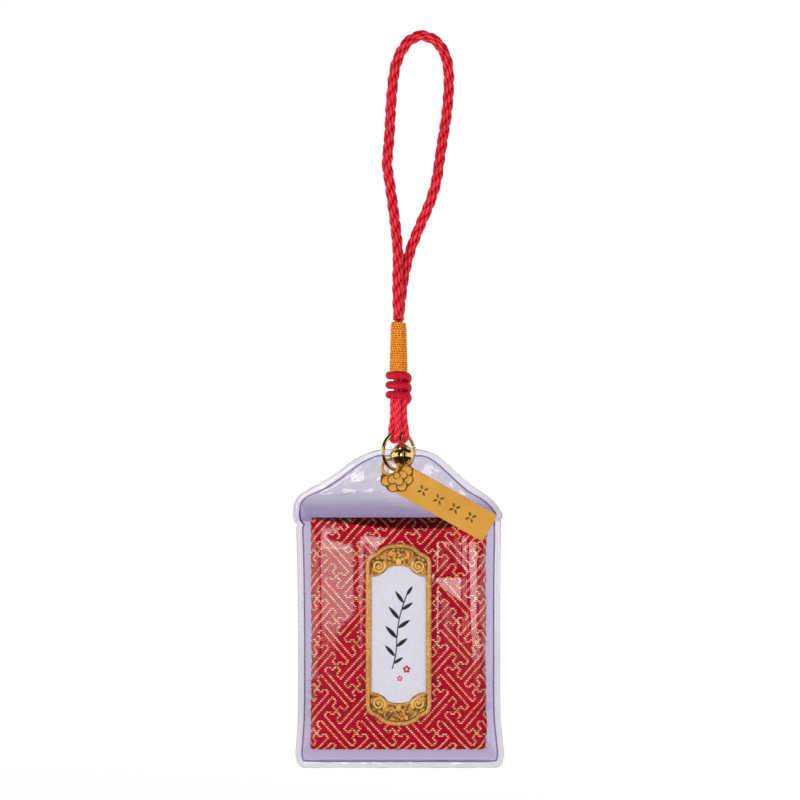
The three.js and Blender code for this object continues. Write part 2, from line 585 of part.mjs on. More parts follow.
// One sheet between two depths. standOff(x, fromSide, depth) is its inner face's distance from the middle
// plane, and way is -1 at the front and 1 at the back.
function filmSheet(fromDepth, toDepth, way, standOff) {
  const rowStep = 5;
  const plaqueMidDepth = peakZ - packetMidZ;
  const plaqueEnd = PLAQUE_H / 2 + 2 * SEAT_GAP;
  const plaqueFade = plaqueEnd + PLAQUE_BULGE_W / 2;
  const weldDepth = sleeveH - RIM_W;
  const key = [
    fromDepth, RIM_W, bulgeStart, panelTopDepth - LAP_RISE - SEAT_GAP, panelTopDepth - SEAT_GAP,
    ROOF_DROP, mouthDepth, mouthDepth + NOTCH_H,
    plaqueMidDepth - plaqueFade, plaqueMidDepth - plaqueEnd,
    plaqueMidDepth + plaqueEnd, plaqueMidDepth + plaqueFade,
    weldDepth - HEM_BULGE_W, weldDepth - HEM_BULGE_W / 3, weldDepth - HEM_BULGE_W / 12,
    weldDepth, sleeveH - HEM_CORNER_R / 3, toDepth,
  ];
  const stops = [...new Set(key.filter((d) => d >= fromDepth && d <= toDepth))].sort((a, b) => a - b);
  const rows = [stops[0]];
  for (let i = 1; i < stops.length; i += 1) {
    const parts = Math.ceil((stops[i] - stops[i - 1]) / rowStep);
    for (let k = 1; k <= parts; k += 1) rows.push(stops[i - 1] + (stops[i] - stops[i - 1]) * k / parts);
  }
  const fromEdge = [0, RIM_W, RIM_W + SIDE_BULGE_W / 12, RIM_W + SIDE_BULGE_W / 3, RIM_W + SIDE_BULGE_W];
  const wideRow = 2 * (RIM_W + SIDE_BULGE_W);
  const plaqueSide = PLAQUE_W / 2 + 2 * SEAT_GAP;
  const plaqueFadeX = plaqueSide + PLAQUE_BULGE_W / 2;
  const columns = rows.map((depth) => {
    const half = sleeveHalfWidth(depth);
    const squeeze = Math.min(1, half / wideRow);
    const reach = half - (RIM_W + SIDE_BULGE_W) * squeeze;
    const left = fromEdge.map((d) => -half + d * squeeze);
    const draw = Math.min(1, reach / (plaqueSide + PLAQUE_BULGE_W));
    const middle = [-plaqueFadeX, -plaqueSide, 0, plaqueSide, plaqueFadeX].map((x) => x * draw);
    const right = left.map((x) => -x).reverse();
    return [...left, ...middle, ...right].map((x) => ({ x, fromSide: half - Math.abs(x) }));
  });
  const wide = columns[0].length;
  const points = [];
  for (const layer of [0, 1]) {
    rows.forEach((depth, i) => {
      for (const { x, fromSide } of columns[i]) {
        const y = standOff(x, fromSide, depth) + layer * FILM_T;
        points.push(AXIS_X + x, way * y, peakZ - depth);
      }
    });
  }
  const faces = [];
  const quad = (a, b, c, d) => (way < 0 ? faces.push(a, b, c, a, c, d) : faces.push(a, c, b, a, d, c));
  const outer = rows.length * wide;
  for (let i = 0; i + 1 < rows.length; i += 1) {
    for (let k = 0; k + 1 < wide; k += 1) {
      const a = i * wide + k;
      quad(a, a + 1, a + 1 + wide, a + wide);
      quad(outer + a, outer + a + wide, outer + a + 1 + wide, outer + a + 1);
    }
    const left = i * wide;
    const right = left + wide - 1;
    quad(left, left + wide, outer + left + wide, outer + left);
    quad(right, outer + right, outer + right + wide, right + wide);
  }
  const foot = (rows.length - 1) * wide;
  for (let k = 0; k + 1 < wide; k += 1) {
    quad(k, outer + k, outer + k + 1, k + 1);
    quad(foot + k, foot + k + 1, outer + foot + k + 1, outer + foot + k);
  }
  const geometry = new THREE.BufferGeometry();
  geometry.setAttribute('position', new THREE.Float32BufferAttribute(points, 3));
  geometry.setIndex(faces);
  return geometry;
}

function makeSleeve() {
  const holeR = RING_WIRE_D / 2 + HOLE_ROOM;
  const punch = solidOf(new THREE.CylinderGeometry(holeR, holeR, pocketHalf * 4, 24)
    .translate(AXIS_X, 0, wireInHoleZ - HOLE_BELOW_WIRE));
  const front = filmSheet(0, sleeveH, -1, (x, fromSide, depth) => {
    const g = bulge(fromSide, depth);
    return g + plaqueBulge(x, depth) * (g / pocketHalf);
  });
  place('sleeve_front', geometryOf(solidOf(front).subtract(punch)), clearFilm);
  const panel = filmSheet(panelTopDepth, sleeveH, 1, (x, fromSide, depth) => bulge(fromSide, depth));
  place('sleeve_back_panel', panel, clearFilm);
  const lapStart = panelTopDepth - LAP_RISE - SEAT_GAP;
  const flap = filmSheet(0, mouthDepth, 1, (x, fromSide, depth) => (
    bulge(fromSide, depth) + (FILM_T + LAYER_GAP) * smoothstep((depth - lapStart) / LAP_RISE)
  ));
  place('sleeve_back_flap', geometryOf(solidOf(flap).subtract(punch)), clearFilm);
}

// Packet: brocade cover in two shells round wadding, board and a folded paper slip

function roundedRect(width, height, radius) {
  const x = width / 2;
  const y = height / 2;
  const shape = new THREE.Shape();
  shape.moveTo(radius - x, -y);
  shape.lineTo(x - radius, -y);
  shape.quadraticCurveTo(x, -y, x, radius - y);
  shape.lineTo(x, y - radius);
  shape.quadraticCurveTo(x, y, x - radius, y);
  shape.lineTo(radius - x, y);
  shape.quadraticCurveTo(-x, y, -x, y - radius);
  shape.lineTo(-x, radius - y);
  shape.quadraticCurveTo(-x, -y, radius - x, -y);
  return shape;
}

// An upright slab from a shape drawn in the front view; the slab's front face is at frontY
function upright(shape, thickness, frontY, options = { bevelEnabled: false }) {
  return new THREE.ExtrudeGeometry(shape, { depth: thickness, curveSegments: 4, ...options })
    .rotateX(Math.PI / 2)
    .translate(AXIS_X, frontY + thickness, packetMidZ);
}

function pillow(inset) {
  const edge = packetEdgeR - inset;
  const shape = roundedRect(PACKET_W - 2 * packetEdgeR, PACKET_H - 2 * packetEdgeR, PACKET_CORNER_R);
  const core = packetT - 2 * packetEdgeR;
  return solidOf(upright(shape, core, -core / 2, {
    bevelEnabled: true, bevelSize: edge, bevelThickness: edge, bevelSegments: 4,
  }));
}

function makePacket() {
  const frontY = -packetT / 2;
  const seamY = packetT / 2 - BACK_PANEL_SEAM;
  const shell = pillow(0).subtract(pillow(COVER_T));
  const span = PACKET_W + PACKET_H;
  const slab = (fromY, toY) => solidOf(
    boxAt(span, toY - fromY, span, AXIS_X, (fromY + toY) / 2, packetMidZ),
  );
  place('packet_cover_front', geometryOf(shell.intersect(slab(-packetT, seamY - LAYER_GAP))), brocade);
  place('packet_cover_back', geometryOf(shell.intersect(slab(seamY, packetT))), brocade);

  const layerW = PACKET_W - 2 * packetEdgeR;
  const layerH = PACKET_H - 2 * packetEdgeR;
  const layer = roundedRect(layerW, layerH, PACKET_CORNER_R);
  const padFront = frontY + COVER_T + LAYER_GAP;
  place('packet_pad', upright(layer, PAD_T, padFront), wadding);
  const boardFront = padFront + PAD_T + LAYER_GAP;
  place('packet_board', upright(layer, BOARD_T, boardFront), board);

  const slipFront = boardFront + BOARD_T + LAYER_GAP;
  place('talisman_slip', foldedSlip(slipFront), paper);

  const plaqueBack = frontY - LAYER_GAP;
  place('plaque_frame', plaqueFrame(plaqueBack), goldMetal);
  let card = solidOf(upright(windowOutline(2 * LAYER_GAP), CARD_T, plaqueBack - CARD_T));
  for (const spot of rosetteSpots()) {
    const clear = new THREE.CylinderGeometry(ROSETTE_R + LAYER_GAP, ROSETTE_R + LAYER_GAP, packetT, 14);
    card = card.subtract(solidOf(clear.translate(spot.x, plaqueBack, spot.z)));
  }
  place('plaque_card', geometryOf(card), paper);
}

// A paper strip folded to and fro in equal leaves, joined by a fold at alternate sides
function foldedSlip(frontY) {
  const leafStep = PAPER_T + LAYER_GAP;
  let slip = null;
  for (let k = 0; k < PAPER_LEAVES; k += 1) {
    const leafY = frontY + k * leafStep + PAPER_T / 2;
    const leaf = solidOf(boxAt(PAPER_W, PAPER_T, PAPER_H, AXIS_X, leafY, packetMidZ));
    slip = slip ? slip.add(leaf) : leaf;
    if (k + 1 < PAPER_LEAVES) {
      const foldX = AXIS_X + (k % 2 ? -1 : 1) * (PAPER_W - PAPER_T) / 2;
      const foldY = leafY + leafStep / 2;
      slip = slip.add(solidOf(boxAt(PAPER_T, leafStep + PAPER_T, PAPER_H, foldX, foldY, packetMidZ)));
    }
  }
  return geometryOf(slip);
}

// A closed outline from the points of its upper right quarter, mirrored both ways
function fourfold(quarter) {
  const points = quarter.getPoints(4);
  const upper = [...points, ...points.slice(0, -1).map((p) => new THREE.Vector2(-p.x, p.y)).reverse()];
  return new THREE.Shape([...upper, ...upper.slice(1, -1).map((p) => new THREE.Vector2(-p.x, -p.y))]);
}

// Plaque outline: straight rails, small shoulders and arched ends
function plaqueOutline() {
  const x = PLAQUE_W / 2;
  const end = PLAQUE_H / 2;
  const archFoot = end - PLAQUE_ARCH_DROP;
  const quarter = new THREE.Path().moveTo(x, 0);
  quarter.lineTo(x, end - PLAQUE_SHOULDER_DROP);
  quarter.quadraticCurveTo(x, archFoot, PLAQUE_ARCH_HALF, archFoot);
  quarter.quadraticCurveTo(PLAQUE_CROWN_HALF, end, 0, end);
  return fourfold(quarter);
}

// Window outline: straight sides, lobed corners that leave room for the rosettes, and arched ends
function windowOutline(inset) {
  const x = PLAQUE_W / 2 - PLAQUE_RAIL - inset;
  const end = PLAQUE_H / 2 - WINDOW_END - inset;
  const lobe = end - WINDOW_LOBE_DROP;
  const quarter = new THREE.Path().moveTo(x, 0);
  quarter.lineTo(x, lobe);
  const archX = WINDOW_ARCH_HALF - inset;
  quarter.quadraticCurveTo(WINDOW_LOBE_HALF - inset, lobe, archX, end - WINDOW_ARCH_DROP);
  quarter.quadraticCurveTo(WINDOW_CROWN_HALF, end, 0, end);
  return fourfold(quarter);
}

// Centres of the four scroll rosettes
function rosetteSpots() {
  const outX = PLAQUE_W / 2 - PLAQUE_RAIL - ROSETTE_R;
  const outZ = PLAQUE_H / 2 - ROSETTE_DROP;
  const spots = [];
  for (const x of [AXIS_X - outX, AXIS_X + outX]) {
    for (const z of [packetMidZ - outZ, packetMidZ + outZ]) spots.push({ x, z });
  }
  return spots;
}

function plaqueFrame(backY) {
  const outline = plaqueOutline();
  outline.holes.push(windowOutline(0));
  let frame = solidOf(upright(outline, PLAQUE_T, backY - PLAQUE_T));
  const height = PLAQUE_T + ROSETTE_T;
  for (const spot of rosetteSpots()) {
    const boss = new THREE.CylinderGeometry(ROSETTE_R, ROSETTE_FOOT_R, height, 14);
    frame = frame.add(solidOf(boss.translate(spot.x, backY - height / 2, spot.z)));
  }
  return geometryOf(frame);
}

makeCordLoop();
makeBundle();
makeWrap();
makeCoil();
makeTails();
makeRing();
makeBell();
makeTag();
makeSleeve();
makePacket();

export default part;
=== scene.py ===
"""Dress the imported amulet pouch. Shapes are worked out in millimetres and made in metres, in the frame of the
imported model."""
import math
import random

import bmesh
import bpy
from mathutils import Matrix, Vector, noise


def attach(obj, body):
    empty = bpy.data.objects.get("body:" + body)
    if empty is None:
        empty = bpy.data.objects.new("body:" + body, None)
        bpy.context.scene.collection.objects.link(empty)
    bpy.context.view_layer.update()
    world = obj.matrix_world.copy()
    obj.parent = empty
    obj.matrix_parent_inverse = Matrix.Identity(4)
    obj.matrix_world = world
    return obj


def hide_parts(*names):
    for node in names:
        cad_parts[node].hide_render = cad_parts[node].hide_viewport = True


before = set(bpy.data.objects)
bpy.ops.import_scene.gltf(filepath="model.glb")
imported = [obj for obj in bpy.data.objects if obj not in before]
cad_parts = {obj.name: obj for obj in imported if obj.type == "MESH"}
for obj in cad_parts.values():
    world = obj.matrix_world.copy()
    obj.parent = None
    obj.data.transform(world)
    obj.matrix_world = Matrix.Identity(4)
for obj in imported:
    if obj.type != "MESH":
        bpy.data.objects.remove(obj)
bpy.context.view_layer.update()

MM = 0.001
TAU = math.tau
HALF_ROOT = math.sqrt(0.5)
RIGHT = Vector((1.0, 0.0, 0.0))
FRONT = Vector((0.0, -1.0, 0.0))
UP = Vector((0.0, 0.0, 1.0))

# Places and sizes in millimetres, from the part's source but for small changes to the wrap, coil and tails
AXIS_X = -5.6
BINDING_TOP_Z = -70.0
WRAP_BOTTOM_Z = -81.56
WRAP_END_Z = -83.0
BUNDLE_HALF_Y = 2.3
COIL_CORD_D = 1.95
COIL_TOP_Z = -83.5
COIL_BOTTOM_Z = -89.6
COIL_PITCH = 2.43
COIL_TURNS = 3
COIL_R = 2.325
TAIL_D = 1.75
TAIL_TOP_SPREAD = 0.95
TAIL_SPREAD = 1.22
TAIL_BEND = 1.45
TAIL_BEND_Z = -98.444
RING_TOP_Z = -97.87
RING_MID_R = 4.7
RING_WIRE_R = 0.5
RING_ACROSS = Vector((0.819152, 0.573576, 0.0))
RING_NORMAL = Vector((0.573576, -0.819152, 0.0))
RING_CUT_AT = math.radians(76)
RING_CUT = 0.3
BELL_CENTRE = Vector((-4.707, -4.596, -103.340))
BELL_X = Vector((0.981627, 0.190809, 0.0))
BELL_UP = Vector((-0.124072, 0.638294, 0.759728))
BELL_Y = BELL_UP.cross(BELL_X)
BELL_R = 2.9
BELL_WALL = 0.35
BELL_SLIT = 0.55
BELL_SLIT_TOP = 1.0
BELL_CAP_R = 1.3
BELL_REACH = 7.2
TAG_HOLE = Vector((-7.742222, -1.5, -106.475238))
TAG_FRONT = Vector((-0.10, -1.0, 0.26)).normalized()
TAG_DIP = math.radians(29)
TAG_T = 0.55
TAG_HOLE_R = 1.6
TAG_EAR_R = 2.3
TAG_FLOWER_AT = 2.7
TAG_OFFSET = -1.1
TAG_FLOWER_R = 4.2
TAG_PETALS = 8
TAG_PETAL_DEPTH = 0.5
TAG_REACH = 29.5
TAG_HALF = 3.75
PEAK_Z = -102.17
SLEEVE_H = 79.2
FILM_T = 0.4
POCKET_HALF = 2.8
HOLE_Z = -107.97
HOLE_R = 2.5
MOUTH_DEPTH = 17.9
PANEL_TOP_DEPTH = 10.5
PACKET_MID_Z = -148.02
PACKET_W = 44.1
PACKET_H = 57.9
PACKET_T = 5.0
EDGE_R = 2.2
PLAQUE_W = 16.25
PLAQUE_H = 45.2
PLAQUE_BACK_Y = -2.6
ROSETTE_X = 4.925
ROSETTE_Z = 17.1


# Numbers, places and curves

def clamp(t):
    return min(1.0, max(0.0, t))


def lerp(a, b, t):
    return a + (b - a) * t


def smoothstep(t):
    t = clamp(t)
    return t * t * (3 - 2 * t)


def round_edge(t):
    """Rise of a quarter circle from 0 to 1."""
    return math.sqrt(1 - (1 - clamp(t)) ** 2)


def shares(count):
    """Shares from 0 to 1 in count even steps."""
    return [k / count for k in range(count + 1)]


def turns(count):
    """Angles of count even steps round a circle."""
    return [TAU * k / count for k in range(count)]


def polar(r, a, x=0.0, z=0.0):
    """The place at radius r and angle a round a centre."""
    return x + r * math.cos(a), z + r * math.sin(a)


def swing(right, up, a):
    """The direction at angle a from right towards up."""
    return right * math.cos(a) + up * math.sin(a)


def neighbours(items):
    """Each item of a closed loop with the next one."""
    return list(zip(items, items[1:] + items[:1]))


def piecewise(stops, at):
    """Straight-line value between (place, value) stops in rising order of place."""
    if at <= stops[0][0]:
        return stops[0][1]
    for (a, va), (b, vb) in zip(stops, stops[1:]):
        if at <= b:
            return lerp(va, vb, (at - a) / (b - a))
    return stops[-1][1]


def smooth_between(stops, at):
    """A smooth value through (place, value) stops in rising order of place."""
    last = len(stops) - 1
    i = next((k for k in range(last) if at <= stops[k + 1][0]), last - 1)
    (x1, y1), (x2, y2) = stops[i], stops[i + 1]
    x0, y0 = stops[max(0, i - 1)]
    x3, y3 = stops[min(last, i + 2)]
    span = x2 - x1
    t = clamp((at - x1) / span)
    m1 = (y2 - y0) / (x2 - x0) * span
    m2 = (y3 - y1) / (x3 - x1) * span
    return ((2 * t ** 3 - 3 * t ** 2 + 1) * y1 + (t ** 3 - 2 * t ** 2 + t) * m1
            + (3 * t ** 2 - 2 * t ** 3) * y2 + (t ** 3 - t ** 2) * m2)


def soft_max(a, b, blend=0.3):
    """The larger of two heights, rounded where they cross."""
    near = max(0.0, blend - abs(a - b))
    return max(a, b) + near * near / (4 * blend)


def smooth_path(route, step):
    """Points every step or so on a smooth curve through the route."""
    points = [Vector(p) for p in route]
    fine = []
    per_span = 24
    for i in range(len(points) - 1):
        p1, p2 = points[i], points[i + 1]
        p0 = points[i - 1] if i else p1 * 2 - p2
        p3 = points[i + 2] if i + 2 < len(points) else p2 * 2 - p1
        for t in shares(per_span)[:-1]:
            fine.append(0.5 * (
                2 * p1 + (p2 - p0) * t + (2 * p0 - 5 * p1 + 4 * p2 - p3) * t * t
                + (3 * p1 - p0 - 3 * p2 + p3) * t ** 3
            ))
    fine.append(points[-1])
    return even_path(fine, step)


def path_lengths(path):
    total = [0.0]
    for a, b in zip(path, path[1:]):
        total.append(total[-1] + (b - a).length)
    return total


def even_path(path, step):
    total = path_lengths(path)
    even = []
    k = 0
    for t in shares(max(2, round(total[-1] / step))):
        at = total[-1] * t
        while k + 2 < len(path) and total[k + 1] < at:
            k += 1
        span = total[k + 1] - total[k]
        even.append(path[k].lerp(path[k + 1], (at - total[k]) / span if span else 0.0))
    return even


def path_frames(path, closed=False):
    """Two cross directions at each point, turned as little as can be along the path."""
    count = len(path)
    found = []
    side = None
    for i in range(count):
        ahead = path[(i + 1) % count] if closed else path[min(i + 1, count - 1)]
        behind = path[i - 1] if closed else path[max(i - 1, 0)]
        along = (ahead - behind).normalized()
        side = along.orthogonal() if side is None else side - along * side.dot(along)
        side = side.normalized()
        found.append((side, along.cross(side)))
    return found


# Meshes and objects

def new_object(name, data):
    obj = bpy.data.objects.new(name, data)
    bpy.context.scene.collection.objects.link(obj)
    return obj


def new_mesh(name, materials):
    mesh = bpy.data.meshes.new(name)
    for mat in materials:
        mesh.materials.append(mat)
    return mesh


def edit_mesh(mesh, change):
    work = bmesh.new()
    work.from_mesh(mesh)
    change(work)
    work.to_mesh(mesh)
    work.free()


def face_outward(work):
    bmesh.ops.recalc_face_normals(work, faces=work.faces)


def dress(obj, body, replaced=()):
    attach(obj, body)
    if replaced:
        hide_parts(*replaced)
    return obj


def thicken(obj, thickness, offset):
    solid = obj.modifiers.new("thickness", "SOLIDIFY")
    solid.thickness = thickness * MM
    solid.offset = offset
    solid.use_even_offset = True
    return solid


class Shape:
    """Points and faces of one piece in millimetres, with a coordinate pair at each face corner."""

    def __init__(self):
        self.points = []
        self.faces = []
        self.pairs = []
        self.slots = []

    def face(self, corners, pairs=None, slot=0):
        self.faces.append(list(corners))
        self.pairs.append(pairs or [(0.0, 0.0)] * len(self.faces[-1]))
        self.slots.append(slot)

    def grid(self, rows, pair=None, wrap=False, ring=False, slot=0, caps=False):
        """Faces over rows of points; wrap joins the ends of each row, ring the last row to the first, and
        caps close the first and last rows."""
        start = len(self.points)
        count = len(rows)
        wide = len(rows[0])
        for row in rows:
            self.points.extend(row)
        for i in range(count if ring else count - 1):
            for k in range(wide if wrap else wide - 1):
                corners = ((i, k), (i, k + 1), (i + 1, k + 1), (i + 1, k))
                self.face(
                    [start + (a % count) * wide + b % wide for a, b in corners],
                    [pair(a, b) if pair else (b, a) for a, b in corners],
                    slot,
                )
        last = start + (count - 1) * wide
        if caps:
            self.face(range(start + wide - 1, start - 1, -1), slot=slot)
            self.face(range(last, last + wide), slot=slot)
        return start, last

    def tube(self, path, radius, sides, closed=False, slot=0):
        """A tube along a path; radius is a number or a function of the share of the path."""
        total = path_lengths(path + path[:1] if closed else path)
        rows = []
        for i, (side, up) in enumerate(path_frames(path, closed)):
            r = radius(total[i] / total[-1]) if callable(radius) else radius
            rows.append([path[i] + swing(side, up, a) * r for a in turns(sides)])
        self.grid(rows, lambda a, b: (b / sides, total[a]), True, closed, slot, caps=not closed)

    def plied(self, path, radius, plies, ply_pitch, depth, sides, ridge=None):
        """A thread along a path, with the ridges of its plies winding round it. The first coordinate, 0 in a
        groove and 1 on a ridge, sets painted shade in the grooves; ridge(point, place on the path, share of the
        ply's ridge) can set it."""
        total = path_lengths(path)
        rows = []
        ridges = []
        for i, (side, up) in enumerate(path_frames(path)):
            r = radius(total[i] / total[-1]) if callable(radius) else radius
            row = []
            found = []
            for a in turns(sides):
                wave = math.cos(plies * (a - TAU * total[i] / ply_pitch))
                row.append(path[i] + swing(side, up, a) * r * (1 + depth * wave))
                share = 0.5 + 0.5 * wave
                found.append(ridge(row[-1], i, share) if ridge else share)
            rows.append(row)
            ridges.append(found)
        self.grid(rows, lambda a, b: (ridges[a][b % sides], total[a]), wrap=True, caps=True)

    def rope(self, path, diameter, pitch):
        """Three strands of five plies each, twisted round each other along a path."""
        strand_r = diameter * 0.30
        offset = diameter / 2 - strand_r
        groove = diameter * 0.34
        total = path_lengths(path)
        frames = path_frames(path)

        # Painted shade between the strands: the first coordinate falls towards the rope's middle.
        def ridge(point, i, share):
            out = ((point - path[i]).length - groove) / (diameter / 2 - groove)
            return clamp(0.5 * clamp(out) + 0.5 * share)

        for strand in range(3):
            points = []
            for i, (side, up) in enumerate(frames):
                points.append(path[i] + swing(side, up, TAU * (strand / 3 + total[i] / pitch)) * offset)
            self.plied(points, strand_r, 5, -pitch * 0.9, 0.08, 25, ridge)

    def dome(self, centre, right, up, out, height, rings, sides, slot=0, skirt=0.0):
        """A low dome on the oval foot that right and up reach; skirt carries its edge below the foot."""
        foot = [swing(right, up, a) for a in turns(sides)]
        rows = [[centre + p - out * skirt for p in foot]] if skirt else []
        for t in shares(rings)[:-1]:
            rise = math.pi / 2 * t
            rows.append([centre + p * math.cos(rise) + out * height * math.sin(rise) for p in foot])
        start, last = self.grid(rows, wrap=True, slot=slot)
        top = len(self.points)
        self.points.append(centre + out * height)
        for k in range(sides):
            self.face((last + k, last + (k + 1) % sides, top), slot=slot)
        self.face(range(start + sides - 1, start - 1, -1), slot=slot)

    def leaf(self, base, tip, width, out, height, fullness=0.42):
        """A flat pointed leaf from base to tip with a raised middle line."""
        along = tip - base
        across = out.cross(along).normalized()
        rows = []
        for t in shares(9):
            wide = width / 2 * math.sin(math.pi * t ** (fullness / 0.5)) ** 0.8 if 0 < t < 1 else 0.004
            middle = base + along * t
            section = ((-1, 0), (-0.5, 0.8), (0, 1), (0.5, 0.8), (1, 0), (0, -0.3))
            rows.append([middle + across * (wide * a) + out * (height * h) for a, h in section])
        self.grid(rows, wrap=True, caps=True)

    def piece(self, name, body, materials, replaced=(), outward=True):
        """Make the object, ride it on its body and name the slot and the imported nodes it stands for."""
        mesh = new_mesh(name, materials)
        mesh.from_pydata([tuple(p * MM) for p in self.points], [], self.faces)
        layer = mesh.uv_layers.new(name="UVMap")
        layer.data.foreach_set("uv", [value for face in self.pairs for pair in face for value in pair])
        mesh.polygons.foreach_set("material_index", self.slots)
        mesh.polygons.foreach_set("use_smooth", [True] * len(self.faces))
        if outward:
            edit_mesh(mesh, face_outward)
        return dress(new_object(name, mesh), body, replaced)


def inset_loop(loop, inset):
    """Each point of a closed outline moved to its left by inset."""
    moved = []
    for i, (x, z) in enumerate(loop):
        ax, az = loop[i - 1]
        bx, bz = loop[(i + 1) % len(loop)]
        dx, dz = bx - ax, bz - az
        size = math.hypot(dx, dz) or 1.0
        moved.append((x - dz / size * inset, z + dx / size * inset))
    return moved


def plate(name, body, loops, profile, to_world, materials, replaced=()):
    """A plate from an outline and its holes, each with the metal on its left; profile is (inset, height)
    from back to front."""
    def build(work):
        ends = ([], [])
        for loop in loops:
            rings = []
            for inset, height in profile:
                places = [to_world(x, z, height) * MM for x, z in inset_loop(loop, inset)]
                rings.append([work.verts.new(place) for place in places])
            for lower, upper in zip(rings, rings[1:]):
                for (a, b), (c, d) in zip(neighbours(lower), neighbours(upper)):
                    work.faces.new((a, b, d, c))
            for ring, edges in zip((rings[0], rings[-1]), ends):
                for pair in neighbours(ring):
                    edges.append(work.edges.get(pair) or work.edges.new(pair))
        for edges in ends:
            bmesh.ops.triangle_fill(work, edges=edges, use_beauty=True)
        face_outward(work)

    mesh = new_mesh(name, materials)
    edit_mesh(mesh, build)
    return dress(new_object(name, mesh), body, replaced)


# Materials

class Nodes:
    """Adds nodes to the tree of a material or the world; each call gives the socket that its node ends in."""

    def __init__(self, owner):
        owner.use_nodes = True
        self.owner = owner
        self.tree = owner.node_tree

    def feed(self, socket, value):
        if isinstance(value, bpy.types.NodeSocket):
            self.tree.links.new(value, socket)
        else:
            socket.default_value = value

    def add(self, kind, inputs=None, output=0, **settings):
        made = self.tree.nodes.new("ShaderNode" + kind)
        for key, value in settings.items():
            setattr(made, key, value)
        for key, value in (inputs or {}).items():
            self.feed(made.inputs[key], value)
        return made.outputs[output]

    def maths(self, operation, a, b=0.0):
        return self.add("Math", {0: a, 1: b}, operation=operation)

    def total(self, *parts):
        """The sum of (value, weight) parts."""
        scaled = [self.maths("MULTIPLY", value, weight) for value, weight in parts]
        whole = scaled[0]
        for part in scaled[1:]:
            whole = self.maths("ADD", whole, part)
        return whole

    def span(self, value, low, high, from_low=0.0, from_high=1.0):
        """The value's way from from_low to from_high, carried over to low and high."""
        return self.add("MapRange", {
            "Value": value, "From Min": from_low, "From Max": from_high, "To Min": low, "To Max": high,
        }, "Result")

    def place(self, kind, scale=(1.0, 1.0, 1.0), turn=(0.0, 0.0, 0.0)):
        source = self.add("TexCoord", output=kind)
        return self.add("Mapping", {"Vector": source, "Scale": scale, "Rotation": turn}, "Vector")

    def axis(self, kind, letter):
        return self.add("SeparateXYZ", {"Vector": self.place(kind)}, letter)

    def away(self, letter, middle):
        """Distance along an axis from a middle in millimetres."""
        return self.maths("ABSOLUTE", self.maths("SUBTRACT", self.axis("Object", letter), middle * MM))

    def grain(self, place, scale, detail=3.0, roughness=0.55):
        return self.add("TexNoise", {
            "Vector": place, "Scale": scale, "Detail": detail, "Roughness": roughness,
        }, "Fac")

    def ramp(self, value, *stops):
        colour = self.add("ValToRGB", {"Fac": value}, "Color")
        elements = colour.node.color_ramp.elements
        while len(elements) < len(stops):
            elements.new(0.5)
        for element, (place, tone) in zip(elements, stops):
            element.position = place
            element.color = (*tone, 1.0)
        return colour

    def seen_directly(self):
        """1 for rays from the camera, a mirror or through glass, which show the white background."""
        kinds = ("Is Camera Ray", "Is Glossy Ray", "Is Transmission Ray")
        camera_ray, glossy, transmission = [self.add("LightPath", output=kind) for kind in kinds]
        return self.maths("MAXIMUM", self.maths("MAXIMUM", camera_ray, glossy), transmission)

    def show(self, output, share, first, second):
        """End the tree in the first shader and, by the share, the second."""
        mixed = self.add("MixShader", {0: share, 1: first, 2: second})
        self.tree.links.new(mixed, self.tree.nodes[output].inputs["Surface"])


class Look(Nodes):
    """A new material, with its constants on the shader's own sockets."""

    def __init__(self, name, **constants):
        super().__init__(bpy.data.materials.new(name))
        self.shader = self.tree.nodes["Principled BSDF"]
        self.shade(**constants)

    def shade(self, **inputs):
        for key, value in inputs.items():
            self.feed(self.shader.inputs[key.replace("_", " ")], value)

    def finish(self, colour, gloss, relief=None):
        """Paint it, vary its roughness by (value, low, high) and raise it by (height, strength, distance)."""
        self.shade(Base_Color=colour, Roughness=self.span(*gloss))
        if relief:
            inputs = dict(zip(("Height", "Strength", "Distance"), relief))
            self.shade(Normal=self.add("Bump", inputs, "Normal"))
        return self.owner


def cord_material(name, dark, middle, bright, groove):
    """Twisted silky yarn: painted shade in the grooves between the plies, by the first coordinate, with lighter
    and darker fibres along them.
    """
    look = Look(
        name, Sheen_Weight=0.03, Sheen_Roughness=0.4, Sheen_Tint=(*bright, 1.0), Specular_IOR_Level=0.15,
    )
    fibre = look.grain(look.place("UV", (6.0, 2.6, 1.0)), 1.0, 4.0, 0.75)
    patch = look.grain(look.place("Object", (420.0,) * 3), 1.0, 2.0)
    # Painted shade: the first coordinate, weighted by groove, darkens the grooves between the plies and
    # strands.
    mixed = look.total((look.axis("UV", "X"), groove), (fibre, 0.9 - groove), (patch, 0.15))
    colour = look.ramp(mixed, (0.36, dark), (0.58, middle), (0.86, bright))
    return look.finish(colour, (fibre, 0.36, 0.6), (mixed, 0.6, 0.0001))


def metal_material(name, low, high, roughness, grain=900.0, depth=0.00001, metallic=1.0):
    """Plated metal with faint colour drift and fine wear in its gloss."""
    look = Look(name, Metallic=metallic)
    drift = look.grain(look.place("Object"), 220.0)
    fine = look.grain(look.place("Object"), grain, 4.0, 0.65)
    colour = look.ramp(drift, (0.3, low), (0.7, high))
    return look.finish(colour, (fine, roughness * 0.7, roughness * 1.4), (fine, 0.35, depth))


def plaque_metal(name, low, high, roughness, metallic):
    return metal_material(name, low, high, roughness, 1600.0, 0.00003, metallic)


def tag_material():
    """Satin gold plate, brushed along the bar."""
    look = Look("tag_gold", Metallic=0.2)
    drift = look.grain(look.place("Object"), 160.0)
    brushed = look.grain(look.place("Object", (260.0, 900.0, 900.0), (0.0, TAG_DIP, 0.0)), 2.0)
    colour = look.ramp(drift, (0.3, (0.67, 0.32, 0.042)), (0.7, (0.77, 0.39, 0.066)))
    return look.finish(colour, (brushed, 0.34, 0.52), (brushed, 0.25, 0.00001))


